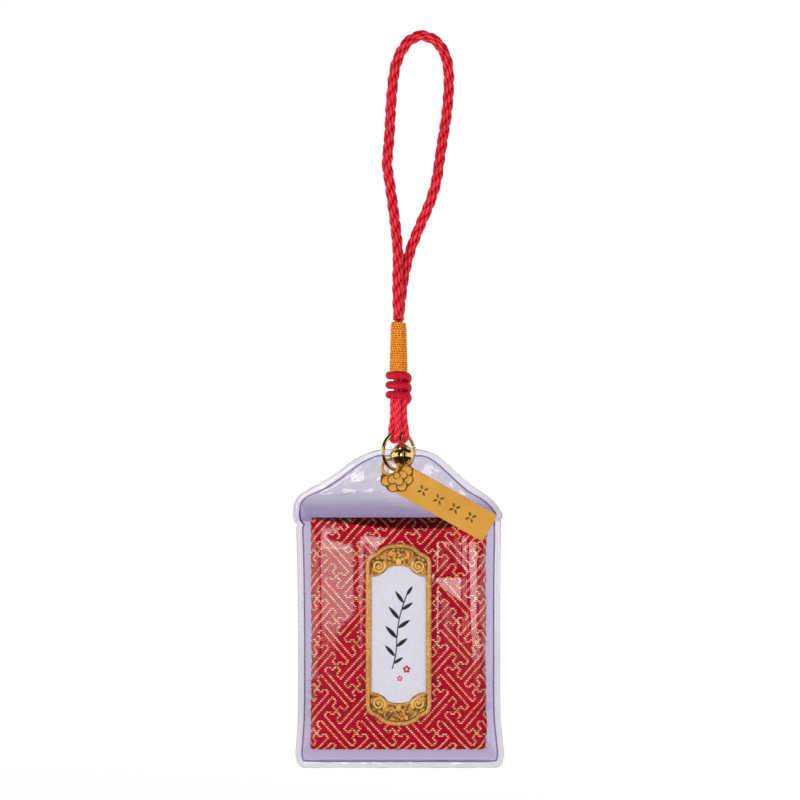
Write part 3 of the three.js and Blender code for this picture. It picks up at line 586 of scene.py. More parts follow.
def grainy_material(name, low, high, scale, gloss, relief, ends=(0.3, 0.7), fibre=(3.0, 0.55), **constants):
    """One colour with a fine grain, which also varies its roughness and raises it."""
    look = Look(name, **constants)
    grain = look.grain(look.place("Object"), scale, *fibre)
    return look.finish(look.ramp(grain, (ends[0], low), (ends[1], high)), (grain, *gloss), (grain, *relief))


def paper_material(name, low, high, scale, depth):
    return grainy_material(
        name, low, high, scale, (0.6, 0.85), (0.3, depth), fibre=(5.0, 0.7), Specular_IOR_Level=0.3,
    )


def antique_material():
    """Stippled antique gold, dark in the pits."""
    look = Look("plaque_antique", Metallic=0.2)
    place = look.place("Object")
    pits = look.add("TexVoronoi", {"Vector": place, "Scale": 1500.0, "Randomness": 0.9}, "Distance")
    tarnish = look.grain(place, 520.0, 4.0, 0.65)
    mixed = look.total((pits, 0.55), (tarnish, 0.6))
    colour = look.ramp(
        mixed, (0.36, (0.92, 0.50, 0.09)), (0.52, (0.66, 0.29, 0.03)), (0.70, (0.14, 0.05, 0.008)),
    )
    return look.finish(colour, (tarnish, 0.32, 0.6), (look.maths("SUBTRACT", 1.0, mixed), 0.8, 0.00012))


# Depth of the open fold along the top of the packet, across from its middle, which also bounds its painted
# shade: (X, depth)
FOLD = ((-22.05, 0.0), (-19.65, 0.7), (-7.9, 2.1), (0.35, 2.9), (11.1, 2.75), (19.0, 1.6), (22.05, 0.3))
FOLD_DEEPEST = 3.0


def painted_fold_shade(look, colour, dark):
    """The colour, times dark inside the fold along the packet's top: painted shade."""
    half = PACKET_W / 2
    across = look.span(look.axis("Object", "X"), 0.0, 1.0, (AXIS_X - half) * MM, (AXIS_X + half) * MM)
    stops = [(0.5 + x / PACKET_W, (depth / FOLD_DEEPEST,) * 3) for x, depth in FOLD]
    depth = look.maths("MULTIPLY", look.ramp(across, *stops), FOLD_DEEPEST * MM)
    line = look.maths("SUBTRACT", (PACKET_MID_Z + PACKET_H / 2) * MM, depth)
    over = look.maths("SUBTRACT", look.axis("Object", "Z"), line)
    share = look.span(over, 1.0, dark, -0.1 * MM, 0.3 * MM)
    return look.add("VectorMath", {0: colour, "Scale": share}, "Vector", operation="SCALE")


def brocade_material():
    """Crimson satin ground with fine weft ribs, slight colour drift and painted shade in the fold along the
    packet's top.
    """
    look = Look(
        "brocade", Sheen_Weight=0.03, Sheen_Roughness=0.45, Sheen_Tint=(0.9, 0.02, 0.10, 1.0),
        Specular_IOR_Level=0.04,
    )
    place = look.place("Object")
    weft, warp = [
        look.add("TexWave", {
            "Vector": place, "Scale": scale, "Distortion": distortion, "Detail": 1.0,
        }, "Fac", bands_direction=direction)
        for scale, distortion, direction in ((940.0, 0.8, "Z"), (1250.0, 0.6, "X"))
    ]
    weave = look.maths("MULTIPLY", weft, look.maths("ADD", look.maths("MULTIPLY", warp, 0.5), 0.5))
    drift = look.grain(place, 240.0)
    slub = look.grain(look.place("Object", (300.0, 300.0, 2400.0)), 1.0, 3.0, 0.6)
    mixed = look.total((weave, 0.35), (drift, 0.35), (slub, 0.3))
    ground = look.ramp(
        mixed, (0.25, (0.31, 0.0, 0.012)), (0.5, (0.45, 0.0, 0.022)), (0.75, (0.58, 0.0, 0.034)),
    )
    # Painted shade darkens the ground inside the fold along the packet's top.
    return look.finish(painted_fold_shade(look, ground, 0.16), (slub, 0.45, 0.7), (weave, 0.5, 0.00006))


def stitch_material(name, low, middle, high, gloss):
    """Weft floats, brighter and duller from stitch to stitch, with painted shade in the fold along the packet's
    top.
    """
    look = Look(name, Specular_IOR_Level=gloss)
    each = look.grain(look.place("Object"), 1500.0, 2.0, 0.7)
    colour = look.ramp(each, (0.36, low), (0.47, middle), (0.62, high))
    # Painted shade darkens the stitches inside the fold along the packet's top.
    return look.finish(painted_fold_shade(look, colour, 0.22), (each, 0.28, 0.5))


WHITE = (1.0, 1.0, 1.0)
WELD_TINT = (0.62, 0.585, 0.71)
BACK_RIM = (0.92, 0.905, 0.95)
# Reach of the painted shadow round the packet, in millimetres
PACKET_SHADOW_REACH = 6.0
FADE_REACH = 6.5
FADE_MOST = 0.9
FILM_ROUGHNESS = 0.09
HEAD_ON_GLOSS = 0.045
DULL_AT_Z = -119.6
DULL_HALF = 1.6
DULL_END = 2.6
DULL_GLOSS = 0.1


def film_material(name, clear, rim, gloss, fade_from=None):
    """Clear soft film: it dims what is behind it, more along the weld, and more again close round the packet as
    a painted shadow of the packet; it mirrors the lights a little. It clears up towards the depth fade_from."""
    look = Look(name)
    look.tree.nodes.remove(look.shader)
    tint = look.ramp(
        look.axis("UV", "X"),
        (0.0, rim), (0.125, rim), (0.140, WELD_TINT), (0.160, WELD_TINT), (0.178, clear),
    )
    if fade_from is not None:
        top = PEAK_Z - fade_from
        fade = look.span(look.axis("Object", "Z"), 0.0, FADE_MOST, (top - FADE_REACH) * MM, top * MM)
        tint = look.add("Mix", {"Factor": fade, 6: tint, 7: (*WHITE, 1.0)}, 2, data_type="RGBA")
    # Painted shadow of the packet: the film darkens close round the packet's outline.
    beside = look.maths("SUBTRACT", look.away("X", AXIS_X), PACKET_W / 2 * MM)
    beyond = look.maths("SUBTRACT", look.away("Z", PACKET_MID_Z), PACKET_H / 2 * MM)
    gap = look.maths("MAXIMUM", beside, beyond)
    near = look.total((gap, 1 / (PACKET_SHADOW_REACH * MM)), (look.grain(look.place("Object"), 60.0), 0.3))
    shade = look.ramp(near, (0.0, (0.99, 0.99, 0.99)), (0.06, (0.93, 0.925, 0.935)), (1.0, WHITE))
    through = look.add("Mix", {"Factor": 1.0, 6: tint, 7: shade}, 2, data_type="RGBA", blend_type="MULTIPLY")
    clear_part = look.add("BsdfTransparent", {"Color": through})
    mirror = look.add("BsdfAnisotropic", {"Color": (*WHITE, 1.0), "Roughness": FILM_ROUGHNESS})
    facing = look.add("LayerWeight", {"Blend": 0.5}, "Facing")
    grazing = look.maths("MULTIPLY", look.maths("POWER", facing, 5.0), (1 - HEAD_ON_GLOSS) * gloss)
    polish = look.span(look.away("Z", DULL_AT_Z), DULL_GLOSS, 1.0, DULL_HALF * MM, DULL_END * MM)
    amount = look.maths("MULTIPLY", look.maths("ADD", grazing, HEAD_ON_GLOSS * gloss), polish)
    look.show("Material Output", amount, clear_part, mirror)
    return look.owner


red_cord = cord_material("red_cord", (0.24, 0.0006, 0.009), (0.61, 0.004, 0.025), (0.93, 0.12, 0.09), 0.5)
tail_cord = cord_material("tail_cord", (0.32, 0.001, 0.012), (0.83, 0.008, 0.042), (1.0, 0.18, 0.14), 0.5)
dark_cord = cord_material(
    "dark_red_cord", (0.27, 0.001, 0.010), (0.64, 0.005, 0.033), (0.95, 0.06, 0.09), 0.25,
)
gold_thread = cord_material("gold_thread", (0.34, 0.052, 0.002), (0.81, 0.232, 0.010), (1.0, 0.50, 0.09), 0.5)
gold_wire = metal_material("gold_wire", (0.80, 0.55, 0.25), (0.93, 0.70, 0.36), 0.14)
bell_gold = metal_material("bell_gold", (0.92, 0.62, 0.20), (1.0, 0.76, 0.34), 0.07)
pellet_steel = metal_material("pellet_steel", (0.42, 0.42, 0.42), (0.58, 0.57, 0.55), 0.35)
tag_gold = tag_material()
tag_brown = grainy_material(
    "tag_brown", (0.13, 0.045, 0.012), (0.27, 0.10, 0.028), 1400.0, (0.45, 0.65), (0.4, 0.00002),
    ends=(0.35, 0.68), Metallic=0.3,
)
plaque_rail = plaque_metal("plaque_gold", (0.66, 0.31, 0.065), (0.82, 0.45, 0.13), 0.26, 0.3)
# A brighter copy of the plaque's gold: painted highlight on the raised spirals and bosses.
plaque_highlight = plaque_metal("plaque_highlight", (0.86, 0.46, 0.085), (0.97, 0.65, 0.18), 0.22, 0.25)
plaque_dark = plaque_metal("plaque_shadow", (0.10, 0.042, 0.009), (0.22, 0.10, 0.024), 0.45, 0.5)
plaque_antique = antique_material()
brocade = brocade_material()
gold_stitch = stitch_material("gold_stitch", (0.44, 0.18, 0.02), (0.88, 0.66, 0.26), (1.0, 0.94, 0.64), 0.6)
# Near-black stitches: painted shade in the gaps of the weave at the fret's turns.
gap_shade_stitch = stitch_material(
    "gap_shade_stitch", (0.008, 0.004, 0.004), (0.018, 0.010, 0.008), (0.035, 0.02, 0.015), 0.1,
)
front_film = film_material("clear_film", (1.0, 0.993, 1.0), (0.99, 0.985, 1.0), 1.0)
# The back sheets' deeper tint is partly the film's own tint and partly painted shadow that the sleeve casts
# under itself.
flap_film = film_material("clear_film_flap", (0.812, 0.79, 0.858), BACK_RIM, 0.4)
back_film = film_material("clear_film_back", (0.785, 0.745, 0.875), BACK_RIM, 0.4, PANEL_TOP_DEPTH)
film_edge = grainy_material(
    "clear_film_edge", (0.68, 0.67, 0.75), (0.82, 0.81, 0.87), 1500.0, (0.4, 0.6), (0.2, 0.00001),
    Specular_IOR_Level=0.3,
)
card_paper = paper_material("card", (0.66, 0.665, 0.735), (0.735, 0.74, 0.80), 900.0, 0.00001)
ink = paper_material("card_ink", (0.010, 0.009, 0.011), (0.032, 0.028, 0.032), 1300.0, 0.00001)
red_ink = paper_material("card_red", (0.50, 0.012, 0.015), (0.66, 0.035, 0.030), 1300.0, 0.00001)
slip_paper = paper_material("paper", (0.80, 0.75, 0.66), (0.90, 0.86, 0.79), 700.0, 0.00002)
grey_board = paper_material("board", (0.38, 0.25, 0.13), (0.56, 0.40, 0.23), 500.0, 0.00004)


# Camera: square on to the front, as the photograph looks down on the flat pouch
CAMERA_AT = Vector((-5.25, -555.0, -89.75))
camera_data = bpy.data.cameras.new("camera")
camera_data.lens = 100.0
camera_data.sensor_width = 36.0
camera_data.clip_start = 0.01
camera = new_object("camera", camera_data)
camera.location = CAMERA_AT * MM
camera.rotation_euler = (math.pi / 2, 0.0, 0.0)
bpy.context.scene.camera = camera

# Cord loop, on the route of the part's source
LOOP_ROUTE = (
    (-5.6, -1.4, -69.7), (-5.75, -1.4, -66.5), (-5.85, -1.35, -60), (-5.75, -1.1, -53.5), (-6.3, -0.6, -47),
    (-7.1, -0.2, -40.75), (-7.9, 0, -35), (-8.45, 0, -31.1), (-8.2, 0, -27.2), (-7.85, 0, -22.9),
    (-7.6, 0, -17.8), (-7.35, 0, -14), (-6.85, 0, -9.1), (-5.95, 0, -5), (-4.1, 0, -1.35),
    (-2.2, 0, 0.45), (0, 0, 1.25), (2.5, 0, 0.6), (4.65, 0, -1.1), (6.35, 0, -4.5),
    (6.95, 0, -9.1), (6.8, 0, -14), (6.3, 0, -19), (5.5, 0, -24.2), (4.75, 0.1, -29),
    (3.85, 0.3, -35), (2.1, 0.6, -40.75), (-0.6, 0.9, -47), (-2.8, 1.2, -52.8), (-4.2, 1.4, -58.5),
    (-5.05, 1.4, -64.5), (-5.6, 1.4, -69.7),
)
LOOP_PITCH = 10.5
LOOP_OUTER_D = 2.72
loop_path = smooth_path(LOOP_ROUTE, 0.32)
loop_shape = Shape()
loop_shape.rope(loop_path, LOOP_OUTER_D, LOOP_PITCH)
loop = loop_shape.piece("cord_strands", "cord", [red_cord], ["cord_loop"])
path_lengths(loop_path)[-1] * MM
[tuple(Vector(p) * MM) for p in LOOP_ROUTE]


# Binding

def bundle_half_x(z):
    return lerp(1.0, 1.55, clamp((BINDING_TOP_Z - z) / (BINDING_TOP_Z - WRAP_BOTTOM_Z)))


def make_core():
    """The loop's legs squeezed together inside the binding, with their strands showing."""
    neck_half = 1.25
    neck_run = 0.8
    rows = []
    for t in shares(60):
        z = lerp(BINDING_TOP_Z + 0.2, COIL_BOTTOM_Z - 0.1, t)
        neck = smoothstep((WRAP_BOTTOM_Z + neck_run - z) / neck_run)
        half_x = lerp(bundle_half_x(z), neck_half, neck)
        half_y = lerp(BUNDLE_HALF_Y, neck_half, neck)
        row = []
        for a in turns(36):
            lobe = 1 - 0.07 * (1 - abs(math.cos(3 * a + z * 0.7)))
            row.append(Vector((AXIS_X + half_x * math.cos(a) * lobe, half_y * math.sin(a) * lobe, z)))
        rows.append(row)
    shape = Shape()
    # The first coordinate falls between the lobes: painted shade between the strands.
    shape.grid(rows, lambda a, b: (0.5 + 0.5 * math.cos(TAU * b / 6), a * 0.35), wrap=True, caps=True)
    shape.piece("cord_core", "cord", [red_cord], ["cord_bundle"])


def make_wrap():
    """Close turns of fine two-ply thread over the legs."""
    rounds = 22
    thread_r = 0.29
    per_turn = 72
    path = []
    for i, t in enumerate(shares(rounds * per_turn)):
        a = math.pi / 2 + TAU * i / per_turn
        z = lerp(BINDING_TOP_Z - 0.1 - thread_r, WRAP_END_Z + 0.1 + thread_r, t)
        stand_off = 0.6 - thread_r - 0.16 * (1 - round_edge(t / 0.12))
        stand_off += 0.10 * noise.noise(Vector((t * rounds * 0.8, 2.0, 5.0)))
        path.append(Vector((
            AXIS_X + (bundle_half_x(z) + stand_off + lerp(0.3, 0.1, t)) * math.cos(a),
            (BUNDLE_HALF_Y + stand_off) * math.sin(a), z,
        )))

    # Painted shade: the colour coordinate is lighter on the side of each turn that faces out and darker between
    # the turns.
    def ridge(point, i, share):
        away = Vector((path[i].x - AXIS_X, path[i].y, 0.0)).normalized()
        return clamp(0.55 * (point - path[i]).dot(away) / thread_r + 0.45 * share)

    shape = Shape()
    shape.plied(path, thread_r, 2, 1.3, 0.2, 10, ridge)
    shape.piece("thread_turns", "cord", [gold_thread], ["thread_wrap"])


def make_coil():
    """Three turns of smooth satin cord, their ends tucked in behind."""
    per_turn = 72
    tuck = 1.2
    end_share = 0.02
    path = []
    for i in range(COIL_TURNS * per_turn + 1):
        done = i / per_turn
        level = math.floor(done)
        step = smoothstep((done - level - 0.62) / 0.38)
        z = COIL_TOP_Z - COIL_PITCH * (0.15 * done + 0.85 * (level + step))
        x, y = polar(COIL_R, math.pi / 2 + TAU * done, AXIS_X)
        path.append(Vector((x, y, z)))
    first = path[0] + (path[0] - path[1]).normalized() * tuck
    last = path[-1] + (path[-1] - path[-2]).normalized() * tuck

    def radius(t):
        return COIL_CORD_D / 2 * (0.55 + 0.45 * round_edge(min(t, 1 - t) / end_share))

    shape = Shape()
    shape.plied([first] + path + [last], radius, 9, 8.0, 0.022, 36)
    shape.piece("satin_coil", "cord", [dark_cord], ["knot_coil"])


def make_tails():
    """The cord's two tails, each folded round the ring."""
    top = TAIL_TOP_SPREAD
    low = TAIL_BEND * HALF_ROOT
    leg = [
        (top, top, COIL_BOTTOM_Z + 0.5), (top, top, COIL_BOTTOM_Z - 1.15),
        (top, top, (COIL_BOTTOM_Z + TAIL_BEND_Z) / 2),
        (TAIL_SPREAD, TAIL_BEND, TAIL_BEND_Z + TAIL_D / 4), (TAIL_SPREAD, low, TAIL_BEND_Z - low),
    ]
    places = leg + [(TAIL_SPREAD, 0, TAIL_BEND_Z - TAIL_BEND)]
    places += [(across, -out, z) for across, out, z in reversed(leg)]
    for name, node, side in (("tail_rope_left", "tail_left", -1), ("tail_rope_right", "tail_right", 1)):
        route = []
        for across, out, z in places:
            route.append(Vector((AXIS_X, 0, z)) + RING_ACROSS * (side * across) + RING_NORMAL * out)
        shape = Shape()
        shape.rope(smooth_path(route, 0.22), TAIL_D, 6.0)
        shape.piece(name, "cord", [tail_cord], [node])


# Ring and bell

def make_ring():
    centre = Vector((AXIS_X, 0, RING_TOP_Z - RING_MID_R))
    cut = RING_CUT / RING_MID_R
    angles = [RING_CUT_AT + cut / 2 + (TAU - cut) * t for t in shares(120)]
    shape = Shape()
    shape.tube([centre + swing(UP, RING_ACROSS, a) * RING_MID_R for a in angles], RING_WIRE_R, 20)
    shape.piece("ring_wire", "ring", [gold_wire], ["jump_ring"])


def bell_point(radius, turn, height):
    return BELL_CENTRE + swing(BELL_X, BELL_Y, turn) * radius + BELL_UP * height


def lathe(shape, profile, sides):
    """A solid of revolution about the bell's axis from a closed (radius, height) profile."""
    rows = [[bell_point(r, a, h) for a in turns(sides)] for r, h in profile]
    shape.grid(rows, wrap=True, ring=True)


def arc(radius, from_angle, to_angle, steps):
    return [polar(radius, lerp(from_angle, to_angle, t))[::-1] for t in shares(steps)]


def merge_points(work):
    bmesh.ops.remove_doubles(work, verts=work.verts, dist=0.01 * MM)
    face_outward(work)


def make_bell():
    inner = BELL_R - BELL_WALL
    ridge_r = BELL_R + 0.16
    ridge_z = 0.26
    seam = 0.05
    crown_r = 0.3
    near = math.radians(84)
    upper = arc(BELL_R, math.asin(crown_r / BELL_R), near, 20)
    upper += [(ridge_r, ridge_z), (ridge_r, seam), (inner, seam)]
    upper += arc(inner, math.radians(88), math.asin(crown_r / inner), 14)
    shape = Shape()
    lathe(shape, upper, 48)
    shape.piece("bell_top", "bell", [bell_gold], ["bell_upper_shell"])

    lower = [(ridge_r, -seam), (ridge_r, -ridge_z)]
    lower += arc(BELL_R, math.pi - near, math.pi - math.asin(0.42 / BELL_R), 34)
    shape = Shape()
    for quarter in range(4):
        rows = []
        for r, h in lower:
            half = BELL_SLIT / 2 * round_edge((-h - BELL_SLIT_TOP) / (BELL_SLIT / 2))
            shy = math.asin(min(HALF_ROOT, half / r))
            angles = [quarter * math.pi / 2 + lerp(shy, math.pi / 2 - shy, t) for t in shares(16)]
            rows.append([bell_point(r, a, h) for a in angles])
        shape.grid(rows)
    bottom = shape.piece("bell_bottom", "bell", [bell_gold], ["bell_lower_shell"])
    edit_mesh(bottom.data, merge_points)
    thicken(bottom, BELL_WALL, -1.0)

    cap_z = math.sqrt(BELL_R ** 2 - BELL_CAP_R ** 2)
    cap = ((0.05, 0.12), (1.16, 0.12), (1.2, 0.22), (1.1, 0.42), (0.8, 0.5), (0.05, 0.5))
    shape = Shape()
    lathe(shape, [(r, cap_z + h) for r, h in cap], 32)
    foot, eye_half = 0.7, 1.3
    bend = eye_half * HALF_ROOT
    half = [(foot, cap_z + 0.3), ((foot + eye_half) / 2, cap_z + 1.1), (eye_half, BELL_REACH),
            (bend, BELL_REACH + bend)]
    route = [(-y, h) for y, h in half] + [(0.0, BELL_REACH + eye_half)] + half[::-1]
    shape.tube(smooth_path([BELL_CENTRE + BELL_Y * y + BELL_UP * h for y, h in route], 0.15), 0.3, 14)
    shape.piece("bell_loop", "bell", [gold_wire], ["bell_eye"])


# Tag
PETAL_LINE = 0.2
PETAL_H = 0.1
BED_INSET = 0.12
BED_EAR_R = TAG_EAR_R + 0.02
tag_along = Vector((math.cos(TAG_DIP), 0.0, -math.sin(TAG_DIP)))
tag_along.y = -0.10 * tag_along.x + 0.26 * tag_along.z
tag_along.normalize()
tag_across = TAG_FRONT.cross(tag_along)


def on_tag(u, v, height):
    """Along and across from the tag's hole, and the height above the plate's back."""
    return TAG_HOLE + tag_along * u + tag_across * v + TAG_FRONT * (height - TAG_T / 2)


def flower_radius(turn):
    return TAG_FLOWER_R - TAG_PETAL_DEPTH * (1 - math.sqrt(abs(math.cos(turn * TAG_PETALS / 2))))


def tag_outline():
    """Flower head, ear round the hole and bar in one outline, counter-clockwise."""
    corner = 0.6
    loop = []
    for way, start in ((-1, -90), (1, 0)):
        for k in range(7):
            middle = TAG_OFFSET + way * (TAG_HALF - corner)
            loop.append(polar(corner, math.radians(start + 15 * k), TAG_REACH - corner, middle))
    ear_x, ear_y = -TAG_FLOWER_AT, -TAG_OFFSET
    for t in shares(160):
        a = math.radians(lerp(66, 294, t))
        reach = flower_radius(a)
        along = ear_x * math.cos(a) + ear_y * math.sin(a)
        off = TAG_EAR_R ** 2 - (ear_x ** 2 + ear_y ** 2 - along ** 2)
        if off > 0:
            reach = max(reach, along + math.sqrt(off))
        u, v = polar(reach, a)
        if u < 0 or abs(v) > TAG_HALF:
            loop.append((TAG_FLOWER_AT + u, TAG_OFFSET + v))
    return loop


def petal_bed():
    """The flower's outline a little inside its edge, with the ear round the hole cut out of it."""
    flower = [polar(flower_radius(a) - BED_INSET, a, TAG_FLOWER_AT, TAG_OFFSET) for a in turns(96)]
    bed = [(u, v) for u, v in flower if math.hypot(u, v) > BED_EAR_R]
    gaps = [(math.dist(a, b), i) for i, (a, b) in enumerate(neighbours(bed))]
    cut = max(gaps)[1] + 1
    bed = bed[cut:] + bed[:cut]
    inward = math.atan2(TAG_OFFSET, TAG_FLOWER_AT)
    first, last = [inward + math.remainder(math.atan2(v, u) - inward, TAU) for u, v in (bed[-1], bed[0])]
    return bed + [polar(BED_EAR_R, lerp(first, last, t)) for t in shares(16)[1:-1]]


def make_tag():
    edge = 0.1
    hole = [polar(TAG_HOLE_R, -a) for a in turns(40)]
    plate(
        "tag_bar", "tag", [tag_outline(), hole],
        [(edge, 0), (0, edge), (0, TAG_T - edge), (edge, TAG_T)],
        on_tag, [tag_gold], ["tag_plate"],
    )
    plate(
        "tag_petal_bed", "tag", [petal_bed()],
        [(0, TAG_T - 0.05), (0, TAG_T + 0.04), (0.04, TAG_T + 0.07)], on_tag, [tag_brown],
    )
    low, mid, high = 0.02, 0.11, 0.21
    petals = [(0.20 + TAU * k / 8, 2.72, 1.45, 1.30, mid if k % 2 else low) for k in range(8)]
    petals += [(0.62 + TAU * k / 5, 1.3, 1.3, 1.1, high + 0.02 * k) for k in range(5)]
    petals.append((0.0, 0.0, 0.8, 0.8, high + 0.16))
    shape = Shape()
    for turn, out, long_half, wide_half, lift in petals:
        u, v = polar(out, turn, TAG_FLOWER_AT, TAG_OFFSET)
        if math.hypot(u, v) < TAG_EAR_R + long_half * 0.62:
            continue
        outward = swing(tag_along, tag_across, turn)
        sideways = TAG_FRONT.cross(outward)
        base = on_tag(u, v, TAG_T + lift)
        for line, height, rings, slot in ((PETAL_LINE, PETAL_H, 5, 1), (0.0, PETAL_H + 0.05, 6, 0)):
            long_way = outward * (long_half + line)
            shape.dome(base, long_way, sideways * (wide_half + line), TAG_FRONT, height, rings, 28, slot)
    shape.tube([on_tag(*polar(1.95, a), TAG_T) for a in turns(48)], 0.28, 10, closed=True)
    shape.piece("tag_petals", "tag", [tag_gold, tag_brown])

    shape = Shape()
    for spot in (10.2, 14.8, 19.4, 24.0):
        for a in turns(4):
            base, tip = [on_tag(*polar(r, a + TAU / 8, spot, TAG_OFFSET), TAG_T) for r in (0.3, 1.55)]
            shape.leaf(base, tip, 0.55, TAG_FRONT, 0.05)
    shape.piece("tag_ornament", "tag", [tag_brown])


# Sleeve

# Outline of the sleeve on each side of its axis: (depth below the peak, half width)
LEFT_EDGE = (
    (0.0, 3.4), (0.4, 5.4), (0.9, 7.2), (1.8, 9.4), (3.3, 11.9), (5.3, 14.6), (7.3, 17.5), (9.3, 20.9),
    (10.5, 23.2), (11.6, 24.8), (13.3, 25.85), (15.3, 26.15), (17.0, 26.1), (18.6, 25.5), (21.5, 25.35),
    (30.0, 25.1), (50.0, 24.9), (66.0, 25.0), (73.0, 25.4), (76.0, 25.6), (77.9, 25.1), (78.8, 24.3),
    (79.2, 23.4),
)
RIGHT_EDGE = (
    (0.0, 3.6), (0.4, 6.2), (0.9, 8.0), (1.8, 9.8), (3.3, 11.7), (5.3, 13.9), (7.3, 16.1), (9.3, 18.5),
    (10.5, 20.3), (11.6, 22.0), (13.3, 23.9), (15.3, 25.3), (16.6, 25.8), (18.4, 25.4), (21.5, 25.4),
    (30.0, 25.25), (50.0, 25.2), (66.0, 25.3), (73.0, 25.9), (76.0, 26.2), (77.9, 25.8), (78.8, 25.0),
    (79.2, 24.0),
)
NOTCH_DEEP = 0.55
NOTCH_HALF = 0.7
ROOF_END = 15.5
WELD_W = 1.5
SIDE_RUN = 6.2
HEM_RUN = 4.5
POCKET_TOP = 10.2
POCKET_RUN = 6.6
PLAQUE_LIFT = 1.65
PLAQUE_ROOM = 0.3
PLAQUE_RUN = 7.0
BEAD_H = 0.16
BEAD_W = 1.42
VALLEY_H = 0.10
VALLEY_AT = 2.3
VALLEY_W = 0.35
RIPPLE_H = 0.42
RIPPLE_FROM = 1.8
RIPPLE_RUN = 2.0
BLISTER_H = 0.5
BLISTER_AT = -13.0
BLISTER_LEFT = 13.0
BLISTER_RIGHT = 4.5
LAP_H = 0.5
LAP_AT = 9.3
LAP_RUN = 0.9

# The film stands away from the packet in a flat facet on the upper left, up to this crease: (height, X)
CREASE = (
    (-177.0, -25.2), (-175.25, -24.75), (-160.75, -22.0), (-148.0, -20.5), (-141.5, -15.0), (-130.0, -12.6),
    (-123.75, -8.6), (-117.0, -5.5),
)
FACET_LEFT = -26.0
FACET_FOOT = 3.3
FACET_SLOPE = 0.09
FACET_BACK = 0.05
TENT_AT = 11.3
TENT_TOP = 19.5
TENT_TOP_RUN = 2.5
TENT_END = 63.0
TENT_END_RUN = 6.0
TENT_SINK = 4.0
TENT_STEEP = 1.2
TENT_W = 3.2
TENT_H = 3.15
TENT_SLOPE = 0.15
TENT_BACK = 0.22
TENT_DRIFT = 0.03
PANE_LEFT = 3.2
PANE_W = 7.0
PANE_H = 4.6
PANE_TOP = -133.3
PANE_FOOT = (-135.0, -141.0)
PANE_FALL = 0.35
TAG_REST = (-11.8, -106.6)

# Steps of the sheets' points inward from the rim, and down past the notches
RIM_STEPS = (0, 0.2, 0.45, 0.75, 1.05, 1.25, 1.4, 1.5, 1.6, 1.75, 2.0, 2.4, 2.9, 3.5, 4.2, 5.0, 6.0)
END_STEPS = RIM_STEPS[:14]
NOTCH_STEPS = (17.0, 17.2, 17.4, 17.6, 17.9, 18.2, 18.4, 18.6)


def sleeve_half(depth, way):
    """Half width of the sleeve on its left (way -1) or right (way 1)."""
    edge, notch_at = (RIGHT_EDGE, 17.3) if way > 0 else (LEFT_EDGE, 18.7)
    return smooth_between(edge, depth) - NOTCH_DEEP * max(0.0, 1 - abs(depth - notch_at) / NOTCH_HALF)


def edge_stretch(depth, way):
    """How much longer a level step is than a step square to the sleeve's edge."""
    if depth > ROOF_END:
        return 1.0
    step = 0.5
    low = max(0.0, depth - step)
    rise = (sleeve_half(depth + step, way) - sleeve_half(low, way)) / (depth + step - low)
    return min(2.4, math.hypot(1.0, rise))


def sprung(t):
    """Rise of the film from its weld: a straight wall, then a round shoulder."""
    return min(round_edge(t), 2.4 * clamp(t))


def bulge(from_side, depth):
    """Stand-off of a sheet over the packet, from the weld inward and from the roof down."""
    side = sprung((from_side - WELD_W) / SIDE_RUN)
    hem = sprung((SLEEVE_H - WELD_W - depth) / HEM_RUN)
    return POCKET_HALF * side * hem * smoothstep((depth - POCKET_TOP) / POCKET_RUN)


def plaque_rise(x, depth):
    """The film goes over the plaque."""
    out_x = max(0.0, abs(x) - PLAQUE_W / 2 - PLAQUE_ROOM)
    out_z = max(0.0, abs(PEAK_Z - depth - PACKET_MID_Z) - PLAQUE_H / 2 - PLAQUE_ROOM)
    return PLAQUE_LIFT * (1 - smoothstep((math.hypot(out_x, out_z) - PLAQUE_ROOM) / PLAQUE_RUN))


def facet(x, z):
    """Stand-off of the upper left facet from the middle plane, in the sleeve's own X."""
    at = AXIS_X + x
    crease = piecewise(CREASE, z)
    rise = FACET_FOOT + FACET_SLOPE * (at - FACET_LEFT)
    fall = FACET_FOOT + FACET_SLOPE * (crease - FACET_LEFT) - FACET_BACK * (at - crease)
    return min(rise, fall)


def tent(x, depth):
    """A low crease of the film on the right, with a flat face towards the edge of the packet."""
    past = AXIS_X + x - TENT_AT - TENT_DRIFT * (depth - TENT_TOP)
    fall = TENT_SLOPE * past if past > 0 else -TENT_BACK * past
    height = TENT_H - fall - TENT_STEEP * max(0.0, past - TENT_W)
    window = smoothstep((depth - TENT_TOP) / TENT_TOP_RUN)
    window *= 1 - smoothstep((depth - TENT_END) / TENT_END_RUN)
    return height - TENT_SINK * (1 - window)


def pane(x, z):
    """A small three-cornered flat of the film between the plaque and the crease on the right."""
    past = AXIS_X + x - PANE_LEFT
    foot = lerp(*PANE_FOOT, clamp(past / PANE_W))
    beyond = max(0.0, z - PANE_TOP) + max(0.0, foot - z) + max(0.0, past - PANE_W) + 2 * max(0.0, -past)
    return PANE_H - TENT_SLOPE * past - PANE_FALL * beyond


def blister(x, depth):
    """The front sheet stands off a little on the left of the roof."""
    past = AXIS_X + x - BLISTER_AT
    across = smoothstep(past / BLISTER_LEFT + 1) if past < 0 else 1 - smoothstep(past / BLISTER_RIGHT)
    return BLISTER_H * across * smoothstep((depth - 1.6) / 3.0) * (1 - smoothstep((depth - 8.0) / 1.8))


def ripple(x, z, from_rim):
    """Small waves of loose film between the weld and the packet."""
    wave = noise.noise(Vector((x * 0.16, 3.1, z * 0.21)))
    wave += 0.5 * noise.noise(Vector((x * 0.45, 7.7, z * 0.38)))
    return abs(RIPPLE_H * smoothstep((from_rim - RIPPLE_FROM) / RIPPLE_RUN) * wave)


